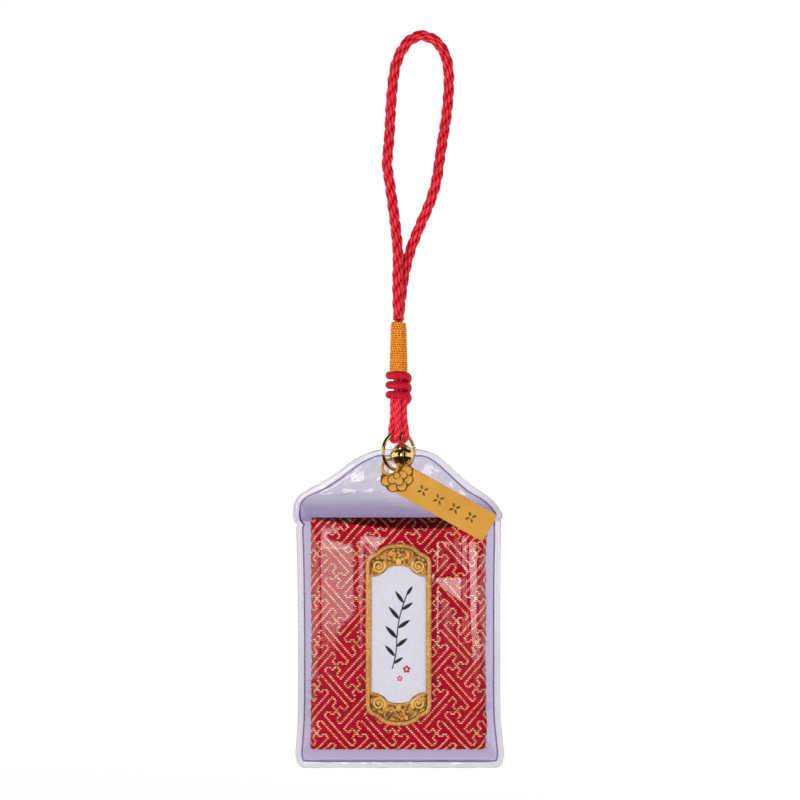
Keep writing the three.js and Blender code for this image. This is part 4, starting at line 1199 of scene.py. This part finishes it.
def front_off(x, from_side, depth):
    """Stand-off of the front sheet, calm where the tag lies on it."""
    base = bulge(from_side, depth)
    share = base / POCKET_HALF
    z = PEAK_Z - depth
    full = base + plaque_rise(x, depth) * share
    taut = smoothstep((from_side - 3.6) / 1.5) * smoothstep((depth - 18.5) / 6.0)
    taut *= smoothstep((SLEEVE_H - 5.0 - depth) / 2.0) * (1 - smoothstep((x - 12.0) / 4.0))
    lifted = soft_max(lerp(full, soft_max(full, facet(x, z)), taut), tent(x, depth))
    if x > 0:
        lifted = soft_max(lifted, pane(x, z), 0.15)
    calm = smoothstep((math.dist((AXIS_X + x, z), TAG_REST) - 1.5) / 2.0)
    return max(0.0, lifted + blister(x, depth) + ripple(x, z, from_side) * (1 - share) * calm)


def back_off(x, from_side, depth):
    base = bulge(from_side, depth)
    return base + ripple(x, PEAK_Z - depth + 40.0, from_side) * (1 - base / POCKET_HALF)


def flap_off(x, from_side, depth):
    """The flap laps over the top of the pocket."""
    return back_off(x, from_side, depth) + LAP_H * smoothstep((depth - LAP_AT) / LAP_RUN)


def sheet_depths(from_depth, to_depth):
    fixed = [from_depth, to_depth, *END_STEPS, *(SLEEVE_H - d for d in END_STEPS), *NOTCH_STEPS]
    depths = {d for d in fixed if from_depth <= d <= to_depth}
    step = 0.0
    while step < SLEEVE_H - 4.0:
        step += 0.42 if step < 18 else 0.6
        if max(from_depth, END_STEPS[-1]) < step < to_depth and min(abs(step - d) for d in depths) > 0.12:
            depths.add(step)
    return sorted(depths)


def film_sheet(name, node, from_depth, to_depth, way, stand_off, mat):
    """A film sheet between two depths; stand_off(x, from_side, depth) is measured from the middle plane."""
    middle = 90
    rows = []
    rims = []
    for depth in sheet_depths(from_depth, to_depth):
        sides = []
        for side in (-1, 1):
            half = sleeve_half(depth, side)
            stretch = edge_stretch(depth, side)
            squeeze = min(1.0, half / (RIM_STEPS[-1] * stretch * 1.3))
            sides.append((half, stretch, [d * stretch * squeeze for d in RIM_STEPS]))
        (left, left_stretch, left_edge), (right, right_stretch, right_edge) = sides
        xs = [d - left for d in left_edge]
        xs += [lerp(left_edge[-1] - left, right - right_edge[-1], t) for t in shares(middle)[1:-1]]
        xs += [right - d for d in reversed(right_edge)]
        row = []
        rim_row = []
        for x in xs:
            rim = min((x + left) / left_stretch, (right - x) / right_stretch, SLEEVE_H - depth)
            if from_depth == 0.0:
                rim = min(rim, depth)
            bead = BEAD_H * math.sin(math.pi * clamp(rim / BEAD_W)) ** 0.8
            valley = VALLEY_H * math.exp(-((rim - VALLEY_AT) / VALLEY_W) ** 2)
            valley *= smoothstep((rim - WELD_W) / 0.3)
            out = stand_off(x, min(x + left, right - x), depth) + (bead + valley)
            row.append(Vector((AXIS_X + x, way * out, PEAK_Z - depth)))
            rim_row.append(rim)
        rows.append(row)
        rims.append(rim_row)

    def punch(work):
        """Cut the ring's hole through the sheet and turn its faces outward."""
        cx, cz, r = AXIS_X * MM, HOLE_Z * MM, HOLE_R * MM
        inside = {v for v in work.verts if math.hypot(v.co.x - cx, v.co.z - cz) < r}
        gone = [f for f in work.faces if all(v in inside for v in f.verts)]
        bmesh.ops.delete(work, geom=gone, context="FACES")
        for v in work.verts:
            far = math.hypot(v.co.x - cx, v.co.z - cz)
            if 1e-7 < far < r:
                v.co.x = cx + (v.co.x - cx) * r / far
                v.co.z = cz + (v.co.z - cz) * r / far
        for f in work.faces:
            f.normal_update()
            if f.normal.y * way < 0:
                f.normal_flip()

    shape = Shape()
    shape.grid(rows, lambda a, b: (rims[a][b] * 0.1, a * 0.01))
    sheet = shape.piece(name, "sleeve", [mat, film_edge], [node], outward=False)
    edit_mesh(sheet.data, punch)
    thicken(sheet, FILM_T, 1.0).material_offset_rim = 1
    sheet.visible_shadow = False


def make_sleeve():
    film_sheet("film_front", "sleeve_front", 0.0, SLEEVE_H, -1, front_off, front_film)
    film_sheet("film_pocket", "sleeve_back_panel", PANEL_TOP_DEPTH, SLEEVE_H, 1, back_off, back_film)
    film_sheet("film_flap", "sleeve_back_flap", 0.0, MOUTH_DEPTH, 1, flap_off, flap_film)


# Packet
CORNER_POWER = 6
FOLD_RECESS = 0.7
COVER_INSETS = (
    0.0, 0.04, 0.14, 0.32, 0.56, 0.88, 1.28, 1.72, 2.2, 2.6, 3.0, 3.5, 4.2, 6.0, 8.5, 11.5, 15.0, 18.5, 21.4,
)
SEAM_INSET = 0.34


def corner_reach(a, b):
    return (abs(a) ** CORNER_POWER + abs(b) ** CORNER_POWER) ** (1 / CORNER_POWER)


def cover_height(x, z):
    """Half thickness of the padded packet at a place in its own plane."""
    qx = max(0.0, abs(x) - (PACKET_W / 2 - EDGE_R))
    qz = max(0.0, abs(z) - (PACKET_H / 2 - EDGE_R))
    e = min(1.0, corner_reach(qx, qz) / EDGE_R)
    crease = 0.10 * noise.noise(Vector((x * 0.22, 1.3, z * 0.16))) * e
    recess = FOLD_RECESS * clamp((z - PACKET_H / 2 + piecewise(FOLD, x)) / 1.2)
    full = PACKET_T / 2 - EDGE_R + EDGE_R * math.sqrt(max(0.0, 1 - e * e)) + crease
    return full - recess * clamp(full)


def side_pull(x, z):
    """The packet's long sides draw in a little between its corners."""
    inward = 0.28 * (1 - (z / (PACKET_H / 2)) ** 2) * smoothstep((abs(x) - 12) / 10)
    amount = 0.34 if x > 0 else 0.12
    wave = noise.noise(Vector((math.copysign(3.3, x), 0.0, z * 0.35)))
    return x - math.copysign(inward, x) + amount * wave * smoothstep((abs(x) - 16) / 6)


def on_cover(x, z, way, height=0.0):
    """A point on the cover, with way -1 at the front, and its outward direction."""
    step = 0.05
    slope_x = (cover_height(x + step, z) - cover_height(x - step, z)) / (2 * step)
    slope_z = (cover_height(x, z + step) - cover_height(x, z - step)) / (2 * step)
    normal = Vector((-slope_x, way, -slope_z)).normalized()
    point = Vector((AXIS_X + side_pull(x, z), way * cover_height(x, z), PACKET_MID_Z + z))
    return point + normal * height, normal


def rounded_loop(inset, count):
    """Points round the packet at an inset from its outline, counter-clockwise in the front view."""
    r = max(0.02, EDGE_R - inset)
    half_w = PACKET_W / 2 - inset - r
    half_h = PACKET_H / 2 - inset - r
    corners = [(half_w, half_h), (-half_w, half_h), (-half_w, -half_h), (half_w, -half_h)]
    per = count // 4
    arc_steps = per // 4
    loop = []
    for i, ((cx, cz), (nx, nz)) in enumerate(neighbours(corners)):
        for k in range(arc_steps):
            a = math.radians(90 * i + 90 * k / arc_steps)
            loop.append(polar(r / corner_reach(math.cos(a), math.sin(a)), a, cx, cz))
        a = math.radians(90 * (i + 1))
        from_p, to_p = polar(r, a, cx, cz), polar(r, a, nx, nz)
        for t in shares(per - arc_steps)[:-1]:
            loop.append((lerp(from_p[0], to_p[0], t), lerp(from_p[1], to_p[1], t)))
    return loop


def make_cover():
    rings = [(inset, -1) for inset in reversed(COVER_INSETS)] + [(inset, 1) for inset in COVER_INSETS]
    shape = Shape()
    rows = [[on_cover(x, z, way)[0] for x, z in rounded_loop(inset, 320)] for inset, way in rings]
    shape.grid(rows, wrap=True, caps=True)
    cover = shape.piece(
        "brocade_cover", "packet", [brocade],
        ["packet_cover_front", "packet_cover_back", "packet_pad"],
    )

    shape = Shape()
    seam = [on_cover(x, z, 1, 0.05)[0] for x, z in rounded_loop(SEAM_INSET, 240)]
    shape.tube(seam, 0.22, 8, closed=True)
    shape.piece("cover_seam", "packet", [red_cord])


# Key fret of the brocade, on a grid turned to stand on its corner

def quarter_turns(line):
    """A line of grid places and the same line after one, two and three quarter turns."""
    found = [line]
    for _ in range(3):
        found.append([(-y, x) for x, y in found[-1]])
    return found


# Arms of the two crossing figures, and the long lines that join them
ARMS = [quarter_turns([(0, 0), (1, 0), (1, way), (2, way)]) for way in (-1, 1)]
LONG_RUNS = quarter_turns([(-2, 1), (-2, -6)])
FRET_PITCH = 5
FRET_CROSSINGS = [(i, j) for i in range(-13, 14) for j in range(-13, 14)]
FRET_X = 1.0
FRET_Z = 1.115
FRET_CENTRE = (3.875 - AXIS_X, -172.55 - PACKET_MID_Z)
ROW_STEP = 0.46
STITCH_APART = 0.25
STITCH_SINK = 0.03
STITCH_RIDGE = 0.62

# Half width, half height and rise of a gold stitch and of a dark one, which paints shade in a gap of the weave
GOLD_STITCH = (0.31, 0.18, 0.14)
GAP_SHADE_STITCH = (0.30, 0.18, 0.20)


def fret_units():
    """Every grid step that the fret's lines run along."""
    units = set()
    for i, j in FRET_CROSSINGS:
        odd = (i + j) % 2
        lines = [pair for arm in ARMS[odd] for pair in zip(arm, arm[1:])]
        if not odd:
            lines += LONG_RUNS
        for (ax, ay), (bx, by) in lines:
            steps = max(abs(bx - ax), abs(by - ay))
            dots = [
                (FRET_PITCH * i + ax + (bx - ax) * k // steps, FRET_PITCH * j + ay + (by - ay) * k // steps)
                for k in range(steps + 1)
            ]
            units.update((min(pair), max(pair)) for pair in zip(dots, dots[1:]))
    return sorted(units)


def on_cloth(p):
    """A grid place of the fret in the cloth's own plane."""
    return FRET_CENTRE[0] + FRET_X * (p[0] - p[1]), FRET_CENTRE[1] - FRET_Z * (p[0] + p[1])


def fret_stitches():
    """Places of the gold stitches in the cloth's own plane, in whole rows."""
    places = {}
    for a, b in fret_units():
        ax, az = on_cloth(a)
        bx, bz = on_cloth(b)
        low, high = min(az, bz), max(az, bz)
        for row in range(math.ceil(low / ROW_STEP), math.floor(high / ROW_STEP) + 1):
            z = row * ROW_STEP
            x = lerp(ax, bx, (z - az) / (bz - az))
            places[(row, round(x / STITCH_APART))] = (x, z)
    return [places[key] for key in sorted(places)]


def fret_gap_shades():
    """Places of the dark stitches, painted shade in the gaps of the weave at the four turns round each
    crossing.
    """
    return [on_cloth((FRET_PITCH * i + a, FRET_PITCH * j + b))
            for i, j in FRET_CROSSINGS for a in (-1, 1) for b in (-1, 1)]


def wrap_cloth(along, half):
    """Place across the packet of a point of the cloth, which goes round the rounded edge."""
    flat = half - EDGE_R
    over = abs(along) - flat
    if over <= 0:
        return along
    if over > EDGE_R * 1.45:
        return None
    return math.copysign(flat + EDGE_R * math.sin(over / EDGE_R), along)


def in_plaque(x, z):
    return abs(x) < PLAQUE_W / 2 - 0.4 and abs(z) < PLAQUE_H / 2 - 4.5


def make_stitches():
    draw = random.Random(7)
    stitches = [(place, GOLD_STITCH, 0) for place in fret_stitches()]
    stitches += [(place, GAP_SHADE_STITCH, 1) for place in fret_gap_shades()]
    for name, way in (("fret_front", -1), ("fret_back", 1)):
        shape = Shape()
        for (cloth_x, cloth_z), (wide, high, rise), slot in stitches:
            x = wrap_cloth(cloth_x, PACKET_W / 2)
            z = wrap_cloth(cloth_z, PACKET_H / 2)
            if x is None or z is None or (way < 0 and in_plaque(x, z)):
                continue
            if cover_height(x, z) < PACKET_T / 2 - EDGE_R + 0.25:
                continue
            centre, normal = on_cover(x, z, way)
            across = (RIGHT - normal * RIGHT.dot(normal)).normalized()
            half_w = across * (wide * draw.uniform(0.86, 1.1))
            half_h = normal.cross(across) * (high * draw.uniform(0.9, 1.1))
            height = normal * (rise * draw.uniform(0.8, 1.15))
            foot = centre - normal * STITCH_SINK
            first = len(shape.points)
            shape.points.extend((
                foot - half_w - half_h, foot + half_w - half_h,
                foot + half_w + half_h, foot - half_w + half_h,
                centre - half_w * STITCH_RIDGE + height, centre + half_w * STITCH_RIDGE + height,
            ))
            for corners in ((0, 1, 5, 4), (2, 3, 4, 5), (1, 2, 5), (3, 0, 4), (3, 2, 1, 0)):
                shape.face([first + c for c in corners], slot=slot)
        shape.piece(name, "packet", [gold_stitch, gap_shade_stitch])


# Plaque and card
FIELD_H = 0.78
CARD_H = 0.5
LEAF_H = 0.03


def on_plaque(x, z, height):
    return Vector((AXIS_X + x, PLAQUE_BACK_Y - height, PACKET_MID_Z + z))


def quarter_curve(start, runs):
    """Points from start along straight runs (x, z) and bent ones (control x, control z, x, z)."""
    points = [start]
    for run in runs:
        if len(run) == 2:
            points.append(run)
            continue
        ax, az = points[-1]
        cx, cz, bx, bz = run
        for t in shares(12)[1:]:
            points.append(((1 - t) ** 2 * ax + 2 * t * (1 - t) * cx + t * t * bx,
                           (1 - t) ** 2 * az + 2 * t * (1 - t) * cz + t * t * bz))
    return points


def fourfold(quarter):
    """A counter-clockwise outline from its upper right quarter."""
    upper = quarter + [(-x, z) for x, z in reversed(quarter[:-1])]
    return upper + [(-x, -z) for x, z in upper[1:-1]]


def plaque_loop():
    x, end = PLAQUE_W / 2, PLAQUE_H / 2
    foot = end - 2.1
    return fourfold(quarter_curve((x, 0), [
        (x, 8.0), (x, end - 5.2), (x, foot - 0.7, 5.4, foot), (3.9, end, 0, end),
    ]))


def window_loop(inset):
    x = PLAQUE_W / 2 - 1.2 - inset
    end = PLAQUE_H / 2 - 5.4 - inset
    lobe = end - 2.7
    return fourfold(quarter_curve((x, 0), [
        (x, 7.0), (x, lobe), (4.3 - inset, lobe, 3.8 - inset, end - 1.0), (2.1, end, 0, end),
    ]))


def raised_loop(loop, inset, height):
    moved = [on_plaque(x, z, height) for x, z in inset_loop(loop, inset)]
    return even_path(moved + moved[:1], 0.3)[:-1]


def make_plaque():
    plate(
        "plaque_field", "packet", [plaque_loop(), window_loop(0)[::-1]],
        [(0.2, 0.0), (0.05, 0.15), (0.05, FIELD_H - 0.1), (0.15, FIELD_H)],
        on_plaque, [plaque_antique], ["plaque_frame"],
    )
    shape = Shape()
    # Slot bright paints highlight on the rosettes' spirals and the bosses; slot dark paints shade on the
    # rosettes' feet, the line inside the rail and the middle bosses' feet.
    dark, bright = 1, 2

    def boss(x, z, base, half_w, half_h, height, rings, sides, slot, skirt=0.1):
        foot = on_plaque(x, z, base)
        shape.dome(foot, RIGHT * half_w, UP * half_h, FRONT, height, rings, sides, slot, skirt)

    def wire(places, thick, slot=0, sides=8):
        shape.tube([on_plaque(*place) for place in places], thick, sides, slot=slot)

    shape.tube(raised_loop(plaque_loop(), 0.5, 0.66), 0.52, 12, closed=True)
    shape.tube(raised_loop(window_loop(0), -0.2, 0.72), 0.27, 10, closed=True)
    shape.tube(raised_loop(plaque_loop(), 1.12, 0.70), 0.15, 8, closed=True, slot=dark)
    for sx in (-1, 1):
        for sz in (-1, 1):
            cx, cz = sx * ROSETTE_X, sz * ROSETTE_Z
            middle = math.atan2(sz, -sx)
            boss(cx, cz, 0.4, 2.15, 2.15, 0.58, 6, 32, dark, 0.3)
            spiral = []
            for t in shares(90):
                x, z = polar(lerp(1.66, 0.50, t ** 0.9), sx * sz * (TAU * 1.6 * t) + middle, cx, cz)
                spiral.append((x, z, lerp(0.92, 1.15, t)))
            wire(spiral, lambda t: lerp(0.42, 0.22, t), bright, 10)
            boss(cx, cz, 0.95, 0.45, 0.45, 0.55, 5, 16, bright)
            wire([
                (*polar(2.3, middle + lerp(-0.9, 0.9, t), cx, cz), FIELD_H) for t in shares(24)
            ], lambda t: 0.05 + 0.14 * math.sin(math.pi * t))
    for sz in (-1, 1):
        boss(0, sz * 18.3, 0.7, 1.5, 1.25, 0.14, 4, 24, dark)
        boss(0, sz * 18.15, 0.7, 0.75, 0.95, 0.55, 6, 24, bright)
        for sx in (-1, 1):
            boss(sx * 0.95, sz * 18.75, 0.7, 0.4, 0.4, 0.35, 5, 16, bright)
            scroll = []
            for t in shares(30):
                x, z = polar(lerp(1.5, 0.75, t), math.pi / 2 * sz - sx * sz * lerp(0.25, 2.9, t))
                scroll.append((sx * 2.35 + x, sz * 19.7 + z * 0.8, FIELD_H))
            wire(scroll, lambda t: 0.06 + 0.12 * math.sin(math.pi * t))
    shape.piece("plaque_relief", "packet", [plaque_rail, plaque_dark, plaque_highlight])


# Sprig on the card: places along its stem, and each leaf's base, tip and width
STEM = ((-1.6, -8.6), (-0.7, -4.8), (-0.4, -0.6), (0.1, 3.6), (1.2, 7.6), (2.3, 10.6))
LEAVES = (
    (-0.9, -5.4, -3.4, -2.6, 0.95), (-0.55, -3.0, 2.2, -0.9, 1.0), (-0.4, -0.9, -3.3, 2.2, 1.05),
    (-0.15, 1.6, 2.9, 3.7, 1.0), (0.15, 3.8, -2.5, 7.0, 1.0), (0.75, 6.1, 3.6, 8.0, 0.9),
    (1.25, 7.8, -0.9, 10.9, 0.9), (2.0, 9.8, 3.5, 12.1, 0.8), (-1.3, -7.2, 1.2, -5.6, 0.85),
)


def make_card():
    plate(
        "card_face", "packet", [window_loop(0.12)], [(0, 0), (0, 0.44), (0.08, CARD_H)], on_plaque,
        [card_paper], ["plaque_card"],
    )
    shape = Shape()
    stem = smooth_path([on_plaque(x, z, CARD_H) for x, z in STEM], 0.25)
    for i in range(0, len(stem) - 1, 2):
        shape.leaf(stem[i], stem[min(i + 3, len(stem) - 1)], 0.34, FRONT, LEAF_H)
    for x0, z0, x1, z1, width in LEAVES:
        shape.leaf(on_plaque(x0, z0, CARD_H), on_plaque(x1, z1, CARD_H), width, FRONT, LEAF_H)
    shape.piece("card_sprig", "packet", [ink])
    shape = Shape()
    for cx, cz, size in ((2.0, -8.6, 1.0), (0.3, -10.9, 0.72)):
        for a in turns(5):
            base, tip = [on_plaque(*polar(r, a + 0.3, cx, cz), CARD_H) for r in (0.18, size)]
            shape.leaf(base, tip, size * 0.8, FRONT, LEAF_H, fullness=0.62)
    shape.piece("card_blossom", "packet", [red_ink])


for make in (
    make_core, make_wrap, make_coil, make_tails, make_ring, make_bell, make_tag, make_sleeve, make_cover,
    make_stitches, make_plaque, make_card,
):
    make()

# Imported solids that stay, out of sight inside the packet and the bell
for node, mat in (("packet_board", grey_board), ("talisman_slip", slip_paper), ("bell_pellet", pellet_steel)):
    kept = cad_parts[node]
    kept.data.materials.clear()
    kept.data.materials.append(mat)


# Stage and lights
AMBIENT = 0.2
FLOOR_Z = -215.0
MIDDLE = (-5, 0, -110)
SIDE_GLOSS = 2.0
SIDE_LAMP_H = 460


def stage_plane(name, centre, right, up, mat):
    centre, right, up = Vector(centre), Vector(right), Vector(up)
    points = [centre - right - up, centre + right - up, centre + right + up, centre - right + up]
    mesh = new_mesh(name, [mat])
    mesh.from_pydata([tuple(p * MM) for p in points], [], [(0, 1, 2, 3)])
    obj = new_object(name, mesh)
    return obj


world = bpy.data.worlds.new("studio")
bpy.context.scene.world = world
sky = Nodes(world)
white = sky.tree.nodes["Background"]
white.inputs["Color"].default_value = (*WHITE, 1.0)
white.inputs["Strength"].default_value = 1.0
soft = sky.add("Background", {"Color": (0.97, 0.97, 1.0, 1.0), "Strength": AMBIENT})
sky.show("World Output", sky.seen_directly(), soft, white.outputs[0])

# The floor looks white, a little less near the middle, where it keeps the object's shadow
floor = Look("floor", Base_Color=(0.9, 0.9, 0.9, 1.0), Roughness=0.9)
glow = floor.add("Emission", {"Color": (*WHITE, 1.0), "Strength": 1.0})
far = floor.add("VectorMath", {0: floor.place("Object")}, "Value", operation="LENGTH")
floor_share = floor.maths("MULTIPLY", floor.seen_directly(), floor.span(far, 0.8, 1.0, 0.20, 0.36))
floor.show("Material Output", floor_share, floor.shader.outputs[0], glow)
stage_plane("floor", (AXIS_X, 0, FLOOR_Z), (1500, 0, 0), (0, 1500, 0), floor.owner)

# Dark cards that only mirrors show, so that polished gold and film have something dark to reflect
flag_mat = Look("dark_flag", Base_Color=(0.01, 0.009, 0.008, 1.0), Roughness=0.9).owner
for name, centre, right, up in (
    ("flag_front", (-5, -900, -150), (900, 0, 0), (0, 0, 800)),
    ("flag_over", (-5, -100, 330), (1500, 0, 0), (0, 500, 0)),
    ("flag_low", (-5, -400, FLOOR_Z + 4), (420, 0, 0), (0, 500, 0)),
):
    flag = stage_plane(name, centre, right, up, flag_mat)
    for ray in ("camera", "diffuse", "shadow", "transmission", "volume_scatter"):
        setattr(flag, "visible_" + ray, False)


def area_lamp(name, at, aim, width, height, radiance, shows=False, lights=True):
    """A soft panel; its power follows from how bright its face is. shows is for mirrors, lights for the
    rest."""
    lamp = bpy.data.lights.new(name, "AREA")
    lamp.shape = "RECTANGLE"
    lamp.size = width * MM
    lamp.size_y = height * MM
    lamp.energy = radiance * math.pi * lamp.size * lamp.size_y
    obj = new_object(name, lamp)
    obj.location = Vector(at) * MM
    obj.rotation_euler = (Vector(aim) - Vector(at)).to_track_quat("-Z", "Y").to_euler()
    obj.visible_camera = False
    obj.visible_glossy = shows
    obj.visible_diffuse = lights


def gloss_lamp(name, at, aim, width, height, radiance):
    area_lamp(name, at, aim, width, height, radiance, shows=True, lights=False)


area_lamp("front", (-60, -880, -330), MIDDLE, 600, 600, 10.7)
for name, at, width, radiance in (
    ("left", (-560, -420, -60), 220, 8.0), ("right", (620, -300, -80), 160, 7.0),
):
    area_lamp(name, at, MIDDLE, width, SIDE_LAMP_H, radiance)
    gloss_lamp(name + "_gloss", at, MIDDLE, width, SIDE_LAMP_H, SIDE_GLOSS)
area_lamp("back", (150, 600, 100), MIDDLE, 500, 400, 9.0)
gloss_lamp("veil", (-140, -600, -214), (-20, 0, -148), 120, 230, 1.9)
gloss_lamp("roof", (-95, -600, -45), (-15, 0, -108), 150, 200, 2.8)
gloss_lamp("streak", (190, -560, -212), (12, 0, -145), 70, 130, 3.4)

bpy.context.scene.view_settings.view_transform = "Standard"
